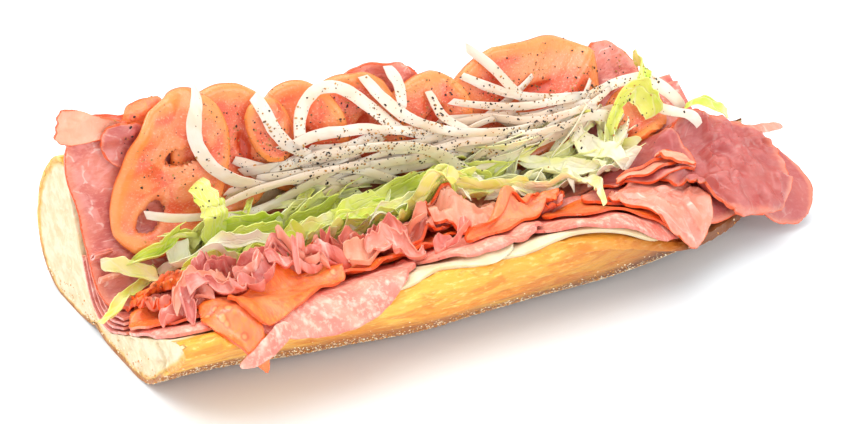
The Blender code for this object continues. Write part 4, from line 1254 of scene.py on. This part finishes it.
def frill_rows(count):
    """Short torn edges of ham, scattered along the front of the heap."""
    scatter = random.Random(3)
    rows = []
    for k in range(count):
        x = -121 + 116 * ((k + 0.5) / count) ** 1.5 + scatter.uniform(-3, 3)
        u = float(np.interp(x, (-122, -95, -50, 0), (-60, -56, -48, -44))) + scatter.uniform(-12, 14)
        heading, reach, bend = scatter.gauss(0.1, 0.45), scatter.uniform(6, 13), scatter.uniform(-4, 4)
        dx, du = math.cos(heading) * reach, math.sin(heading) * reach
        path = ((x - dx, u - du), (x + bend * 0.5, u - bend), (x + dx, u + du))
        rows.append(("ham_front_left" if x < -46 else "ham_front_middle",
                     (path, scatter.uniform(4, 7), scatter.uniform(0.8, 2.0), scatter.uniform(12, 20),
                      (scatter.uniform(-10, 45), scatter.uniform(-10, 45)), k + 3,
                      scatter.uniform(-0.5, 0.9))))
    return rows


def lay_frills(count):
    """The frills of both front slices, and the loops at the sliced end."""
    rows = frill_rows(count)
    for node in ("ham_front_left", "ham_front_middle"):
        meshes = [sheet_mesh(*softened(frill(*row)), cut=0.5) for owner, row in rows if owner == node]
        gather(node + "_frills", "ham", meshes, node)
    loops = []
    for k, (path, width, tone) in enumerate(LOOPS):
        grids = ribbon(path, width, 0.9, steps=24, across=14, tail=0.8, seed=k + 60, tone=tone, wave=0.5,
                       stiff=8, stacked=0.4, curl=2.8, smooth=4)
        loops.append(sheet_mesh(*softened(grids), cut=0.2 + 0.5 * k))
    gather("ham_loops", "ham", loops, "ham_folded")


lay_frills(22)

# %% Torn tip of the ham
HAM_TIP = ((138, -12), (150, -10), (160, -6), (169, -3))
spike = ribbon(HAM_TIP, 3.6, 1.0, tail=0.1, roll=(20, 40), wave=0.8, tone=0.4, stacked=1)
add_piece("ham_spike", sheet_mesh(*spike), "ham", "ham_tip")

# %% [markdown]
# ## Ham on the right and the tomatoes
#
# The big slice on the right covers the end of the roll. The tomatoes stand on the back half. The first has
# two openings where the seeds fell out, so the ham behind shows through; others keep their wet pockets.

# %% Lay the upper slices
UPPER = (
    ("ham_right", "ham", (106, -33), (47, 23),
     {"turn": 12, "corner": 0.1, "edge": 0.06, "fray": 0.03, "seed": 21, "grid": 60, "crinkle": 1.0,
      "tone": -0.9}),
    ("ham_lower", "ham", (84, -51), (21, 17),
     {"nodes": ("ham_right",), "turn": 24, "edge": 0.1, "fray": 0.03, "seed": 43, "grid": 56,
      "crumple": (2.6, 11), "tone": 0.35, "holes": ((-6, 1, 1.1, 2.6, 20),)}),
    ("ham_upper", "ham", (122, -31), (31, 22),
     {"nodes": ("ham_right",), "edge": 0.08, "fray": 0.03, "seed": 37, "grid": 76, "ruffle": 0.8,
      "waves": (2, 1), "crumple": (4.2, 13), "tone": -0.9}),
    ("ham_wedge", "ham", (91, -24), (20, 15),
     {"nodes": ("ham_right",), "turn": -8, "edge": 0.1, "fray": 0.02, "seed": 38, "crinkle": 1.2,
      "tone": -0.9}),
    ("ham_turned", "ham", (88, -31), (14, 5),
     {"nodes": ("ham_right",), "turn": 8, "edge": 0.1, "seed": 40, "grid": 40, "lift": 0.4,
      "crinkle": 1.5, "tone": 0.6, "folds": ((90, 1.5, 1.3, 170),)}),
    ("ham_flap", "ham", (99, -30), (4.5, 9),
     {"nodes": ("ham_right",), "turn": 22, "taper": -0.5, "edge": 0.1, "seed": 39, "grid": 30,
      "lift": 0.5, "crinkle": 1.5, "tone": 0.9}),
    ("tomato_8", "tomato", (98, 4), (12, 13), {"edge": 0.04, "seed": 28, "grid": 30}),
    ("tomato_7", "tomato", (57, 40), (37, 27),
     {"turn": -30, "edge": 0.03, "seed": 27, "grid": 60,
      "pockets": ((-6, -12, 7, 4, 20, 1.6), (12, -8, 5, 3, -30, 1.6), (2, 8, 8, 3.4, 10, 1.2))}),
    ("tomato_6", "tomato", (10, 44), (20, 23),
     {"edge": 0.04, "seed": 26, "pockets": ((2, 4, 8, 4, 40, 1.6),)}),
    ("tomato_5", "tomato", (-22, 50), (20, 24),
     {"edge": 0.04, "seed": 25, "pockets": ((3, 2, 7, 4, 60, 1.6),)}),
    ("tomato_4", "tomato", (-44, 52), (17, 23),
     {"edge": 0.04, "seed": 24, "pockets": ((1, 0, 5, 7, 10, 2.2),)}),
    ("tomato_2", "tomato", (-75, 53), (21, 28),
     {"turn": -10, "edge": 0.04, "seed": 22, "pockets": ((8, 3, 3, 8, 20, 1.4),)}),
    ("tomato_3", "tomato", (-57, 60), (8, 13), {"turn": 15, "edge": 0.04, "seed": 23, "grid": 26}),
    ("tomato_1", "tomato", (-99, 47), (20.5, 37),
     {"turn": -24, "edge": 0.02, "seed": 21, "grid": 80, "knife": False,
      "holes": ((1.5, 13, 7, 3.6, 30), (-3, -17, 5, 8.5, -12))}),
)
lay_all(UPPER)
print("upper slices:", len(UPPER), "laid")

# %% [markdown]
# ## Lettuce
#
# Shredded iceberg is a heap of ribbons of every width, green where they came from the leaf and white from
# the rib. The ones that the eye picks out follow their own paths; the rest are scattered along the heap
# from a fixed seed.

# %% Lettuce
LETTUCE_SHOWN = (
    (5, 0, (0, 30), 0.50, ((-142, -18), (-136, -12), (-127, -2), (-112, 7))),
    (12, 8, (5, 30), 0.75, ((-90, 2), (-91, 22), (-93, 46))),
    (9, 3, (20, -20), 0.00, ((-104, 14), (-106, -4), (-98, -14), (-86, -10))),
    (8, 3, (0, 50), 0.85, ((-122, 12), (-112, 10), (-103, 22))),
    (6, 2, (0, 30), 0.30, ((-132, 14), (-122, 8), (-114, 0))),
    (11, 4, (10, 40), 0.85, ((-87, 13), (-74, 12), (-60, 10))),
    (7, 3, (0, 60), 0.15, ((-84, -14), (-73, -4), (-63, 8), (-55, 18))),
    (9, 4, (20, 50), 0.35, ((-57, 4), (-48, 17), (-40, 25))),
    (12, 4, (30, 10), 0.60, ((-42, -6), (-32, 3), (-16, 10), (4, 17))),
    (8, 4, (60, 20), 0.75, ((-60, 8), (-46, 10), (-34, 16))),
    (7, 4, (0, 40), 0.30, ((-8, 6), (3, 3), (18, 1))),
    (6, 4, (40, 0), 0.70, ((-14, 12), (0, 14), (12, 22))),
    (7, 4, (20, 0), 0.15, ((28, 26), (40, 18), (58, 20))),
    (6, 3, (0, 20), 0.10, ((48, 12), (63, 0), (74, -16))),
    (8, 6, (10, 50), 0.75, ((84, 2), (90, 12), (98, 11), (102, -4))),
    (7, 3, (30, 0), 0.15, ((71, 12), (76, -2), (82, -22))),
    (4, 3, (0, 60), 0.25, ((64, -6), (68, -26), (64, -44), (56, -66))),
    (7, 7, (10, 50), 0.90, ((98, 7), (103, 16), (108, 27))),
    (4, 1, (0, 30), 0.85, ((116, -5), (128, -7), (136, -6), (141, -3))),
    (12, 7, (20, 45), 0.80, ((-86, 0), (-74, 2), (-61, 2))),
    (8, 7, (30, 60), 0.05, ((-102, -6), (-92, -12), (-80, -16), (-72, -15))),
    (7, 6, (10, 60), 0.90, ((-78, -18), (-70, -24), (-62, -22))),
    (8, 5, (20, 50), 0.55, ((-74, -12), (-64, -14), (-54, -8))),
    (7, 3, (50, 10), 0.30, ((-62, -16), (-50, -12), (-38, -4))),
    (8, 4, (10, 50), 0.80, ((-46, -14), (-32, -12), (-20, -4))),
    (7, 3, (50, 20), 0.15, ((-30, -16), (-14, -10), (0, -6))),
    (7, 3, (20, 60), 0.65, ((-10, -8), (4, -10), (16, -6))),
)


def lettuce_rows(count):
    """Shreds scattered along the heap, with leaf on the left and more rib on the right."""
    scatter = random.Random(5)
    rows = []
    for k in range(count):
        x = -100 + 190 * (k * 0.618 % 1) + scatter.uniform(-4, 4)
        u = scatter.uniform(-16, 24) - 7 * float(ease(50, 95, x))
        heading = scatter.gauss(0.2, 0.65)
        reach = scatter.uniform(6, 19)
        bend = scatter.uniform(-6, 6)
        dx, du = math.cos(heading) * reach, math.sin(heading) * reach
        path = ((x - dx, u - du), (x - dx * 0.3 + bend * 0.5, u - du * 0.3 - bend),
                (x + dx * 0.4 + bend * 0.3, u + du * 0.4 - bend * 0.4), (x + dx, u + du + bend * 0.4))
        green = scatter.uniform(0.0, 0.85) - 0.45 * float(ease(0, 50, x)) + 0.1
        rows.append((scatter.triangular(2, 10, 5), scatter.uniform(0, 4),
                     (scatter.uniform(-70, 70), scatter.uniform(-70, 70)), max(green, 0.0), path))
    return rows


def lay_lettuce():
    """The scattered shreds first, then the ones that show."""
    meshes = []
    for k, (width, arch, roll, tone, path) in enumerate(lettuce_rows(150) + list(LETTUCE_SHOWN)):
        grids = ribbon(path, width, 0.5, arch, roll=roll, seed=k, tone=tone, wave=1.5, cup=0.8, tail=0.85,
                       stacked=0.22, curl=(k * 0.7) % 1.6, steps=26, slope=2.5 * math.sin(k * 1.7), jag=0.3)
        meshes.append(sheet_mesh(*grids))
    return gather("lettuce_heap", "lettuce", meshes, "lettuce")


lettuce_piece = lay_lettuce()
print("lettuce:", len(lettuce_piece.data.polygons), "faces")

# %% [markdown]
# ## Onion
#
# Each arc is a slice of one onion layer: thicker than a leaf, round at the edges, glassy. Long arcs run
# along the roll and curve up on the tomatoes at the back.

# %% Onion
ONION_SHOWN = (
    (5.5, 2, ((-82, 85), (-88, 78), (-91, 67), (-86, 54), (-77, 42), (-62, 34))),
    (5, 3, ((-61, 75), (-60, 64), (-53, 54), (-44, 46))),
    (5, 3, ((-50, 50), (-47, 65), (-38, 75), (-27, 73), (-15, 60), (-4, 47))),
    (5, 3, ((-17, 74), (-10, 62), (4, 49), (18, 39), (40, 33), (60, 30))),
    (4.5, 2, ((-112, 35), (-97, 26), (-80, 22), (-60, 24), (-34, 35))),
    (4, 3, ((-88, 29), (-70, 34), (-45, 36), (-22, 35))),
    (5.5, 3, ((-52, 45), (-36, 47), (-8, 41), (8, 31), (22, 14), (27, -3))),
    (5, 3, ((-57, 54), (-40, 57), (-18, 54), (2, 46))),
    (4, 3, ((11, 61), (14, 49), (24, 38))),
    (5, 3, ((-4, 74), (-2, 67), (-4, 60))),
    (4, 3, ((33, 73), (40, 66), (50, 52), (56, 42))),
    (4, 3, ((28, 63), (42, 55), (60, 44), (80, 24))),
    (4, 3, ((20, 55), (40, 48), (62, 40), (78, 27))),
    (4, 3, ((37, 43), (56, 33), (70, 24), (84, 14))),
    (4, 3, ((40, 33), (58, 22), (77, 14), (91, 4))),
    (5, 3, ((78, 26), (94, 20), (107, 10), (117, -3))),
    (4, 3, ((96, 25), (88, 20), (76, 20))),
    (4, 2, ((103, 1), (110, -9), (117, -16))),
)


def onion_rows(count):
    """Arcs scattered along the roll, all bent the same way."""
    scatter = random.Random(11)
    rows = []
    for k in range(count):
        x = -55 + 130 * (k * 0.618 % 1)
        u = 36 - 0.08 * x + scatter.uniform(-11, 10) - 8 * float(ease(40, 76, x))
        heading = scatter.gauss(-0.1, 0.25)
        reach = scatter.uniform(14, 30)
        bend = scatter.uniform(-5, 7)
        dx, du = math.cos(heading) * reach, math.sin(heading) * reach
        rows.append((scatter.uniform(3.0, 6.0), scatter.uniform(0, 1.8),
                     ((x - dx, u - du - bend), (x, u), (x + dx, u + du - bend))))
    return rows


def lay_onion():
    """The scattered arcs first, then the ones that show."""
    meshes = []
    for k, (width, arch, path) in enumerate(onion_rows(46) + list(ONION_SHOWN)):
        reach = sum(math.dist(a, b) for a, b in zip(path, path[1:]))
        steps = max(14, int(reach / 2))
        grids = ribbon(path, width, 0.9, arch, steps=steps, across=8, tail=0.75, seed=k, stiff=30,
                       roll=(12 * math.sin(k), 20 * math.cos(k * 2.3)), cup=-0.2, tone=(k * 0.37) % 1,
                       stacked=0.35, wave=0.5, smooth=steps // 3, slope=1.5 * math.sin(k * 2.1))
        meshes.append(sheet_mesh(*grids))
    return gather("onion_arcs", "onion", meshes, "onion")


onion_piece = lay_onion()
print("onion:", len(onion_piece.data.polygons), "faces")

# %% [markdown]
# ## Pepper and cornmeal
#
# Cracked pepper and the cornmeal under a roll are thousands of grains, so each has only a few faces: a
# small icosphere, pressed flat, turned at random and set down where a ray meets the food.

# %% Grain finishes


def grain_finish(name, dark, light, rough):
    """A finish for grains, each with its own shade from dark to light."""
    made, tree, shader = begin(name, Roughness=rough)
    tone = attribute(tree, "tone")
    spot = wire(tree, "TexCoord").outputs["Object"]
    shade = plus(tree, tone, swing(tree, cloud(tree, spot, 0.0005), 0.3))
    join(tree, mixed(tree, fade(tree, shade, 0.35, 0.75), dark, light), shader, "Base Color")
    bumps(tree, shader, (cloud(tree, spot, 0.0003), 0.00005))
    return made


FINISHES["pepper"] = grain_finish("cracked_pepper", paint(38, 26, 20), paint(196, 142, 70), 0.6)
FINISHES["cornmeal"] = grain_finish("cornmeal_grains", paint(216, 150, 76), paint(255, 244, 212), 0.7)


def shown_tree():
    """A search tree of every piece of food made so far."""
    whole = bmesh.new()
    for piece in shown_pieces():
        whole.from_mesh(piece.data)
    bmesh.ops.triangulate(whole, faces=[f for f in whole.faces if len(f.verts) > 3])
    found = BVHTree.FromBMesh(whole)
    whole.free()
    return found


def grains(name, kind, spots):
    """One piece of small grains, one at each (point, normal, size, tone, flatness)."""
    whole = bmesh.new()
    layer = whole.verts.layers.float.new("tone")
    corners = len(bmesh.ops.create_icosphere(whole, subdivisions=1, radius=MM)["verts"])
    while len(whole.verts) < corners * len(spots):
        bmesh.ops.duplicate(whole, geom=list(whole.verts) + list(whole.edges) + list(whole.faces))
    verts = list(whole.verts)
    bmesh.ops.delete(whole, geom=verts[corners * len(spots):], context="VERTS")
    scatter = random.Random(len(spots))
    for k, (point, normal, size, tone, flatness) in enumerate(spots):
        turn = normal.to_track_quat("Z", "Y").to_matrix()
        axis = Vector((scatter.uniform(-1, 1), scatter.uniform(-1, 1), 0.2))
        spin = axis.to_track_quat("X", "Z").to_matrix()
        stretch = scatter.uniform(0.7, 1.8)
        for vert in verts[k * corners:(k + 1) * corners]:
            co = spin @ Vector((vert.co.x * stretch, vert.co.y, vert.co.z))
            co.z *= flatness
            vert.co = turn @ (co * size * scatter.uniform(0.75, 1.15)) + point
            vert[layer] = tone
    data = bpy.data.meshes.new(name)
    whole.to_mesh(data)
    whole.free()
    data.materials.append(FINISHES[kind])
    made = bpy.data.objects.new(name, data)
    bpy.context.scene.collection.objects.link(made)
    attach(made, "root")
    return made

# %% Pepper over the onion and tomatoes
PEPPER_FROM, PEPPER_TO, PEPPER_FALL = 45.0, -5.0, 0.07


def pepper_spots(count):
    """Where pepper rests: thickest along the onion, in drifts."""
    scatter = random.Random(21)
    tree = shown_tree()
    spots = []
    while len(spots) < count:
        x = scatter.uniform(-115, 112)
        u = 46 - 0.1 * x + scatter.gauss(0, 15) - 22 * float(ease(60, 110, x))
        density = 0.35 + 0.65 * float(ease(-85, -60, x))
        if scatter.random() > density:
            continue
        if noise.noise(Vector((x * 0.06, u * 0.06, 1))) < scatter.uniform(-0.7, 0.25):
            continue
        high, low = (Vector(place(x, u, h)) * MM for h in (PEPPER_FROM, PEPPER_TO))
        hit = tree.ray_cast(high, (low - high).normalized(), PEPPER_FALL)
        if hit[0] is None:
            continue
        normal = hit[1] if hit[1].dot(high - low) > 0 else -hit[1]
        size = 0.16 + 0.36 * scatter.random() ** 2
        tone = scatter.choice((0.0, 0.1, 0.3, 0.5, 0.6, 0.9, 1.0))
        spots.append((hit[0] + normal * size * 0.3 * MM, normal, size, tone, 0.6))
    return spots


pepper = grains("pepper_flecks", "pepper", pepper_spots(2100))
print("pepper:", len(pepper.data.polygons), "faces")

# %% Cornmeal along the foot of the roll
CORNMEAL_FROM, CORNMEAL_TOP = 0.12, 0.026


def cornmeal_spots(count):
    """Where cornmeal sticks: low on the crust, more on the front."""
    scatter = random.Random(31)
    spots = []
    found = BVHTree.FromObject(bread, bpy.context.evaluated_depsgraph_get())
    while len(spots) < count:
        x = scatter.uniform(-0.150, 0.150)
        raised = float(np.interp(x, (0.09, 0.12, 0.15), (0.0, 0.003, 0.010)))
        z = 0.002 + abs(scatter.gauss(0.0, 0.0058)) + raised
        side = -1 if scatter.random() < 0.75 else 1
        start = Vector((x, side * CORNMEAL_FROM, z))
        hit = found.ray_cast(start, Vector((0, -side, 0)), 0.2)
        if hit[0] is None or hit[0].z > CORNMEAL_TOP:
            continue
        size = scatter.uniform(0.18, 0.42)
        spots.append((hit[0], hit[1], size, scatter.random(), 0.8))
    return spots


cornmeal = grains("cornmeal", "cornmeal", cornmeal_spots(5600))
print("cornmeal:", len(cornmeal.data.polygons), "faces")
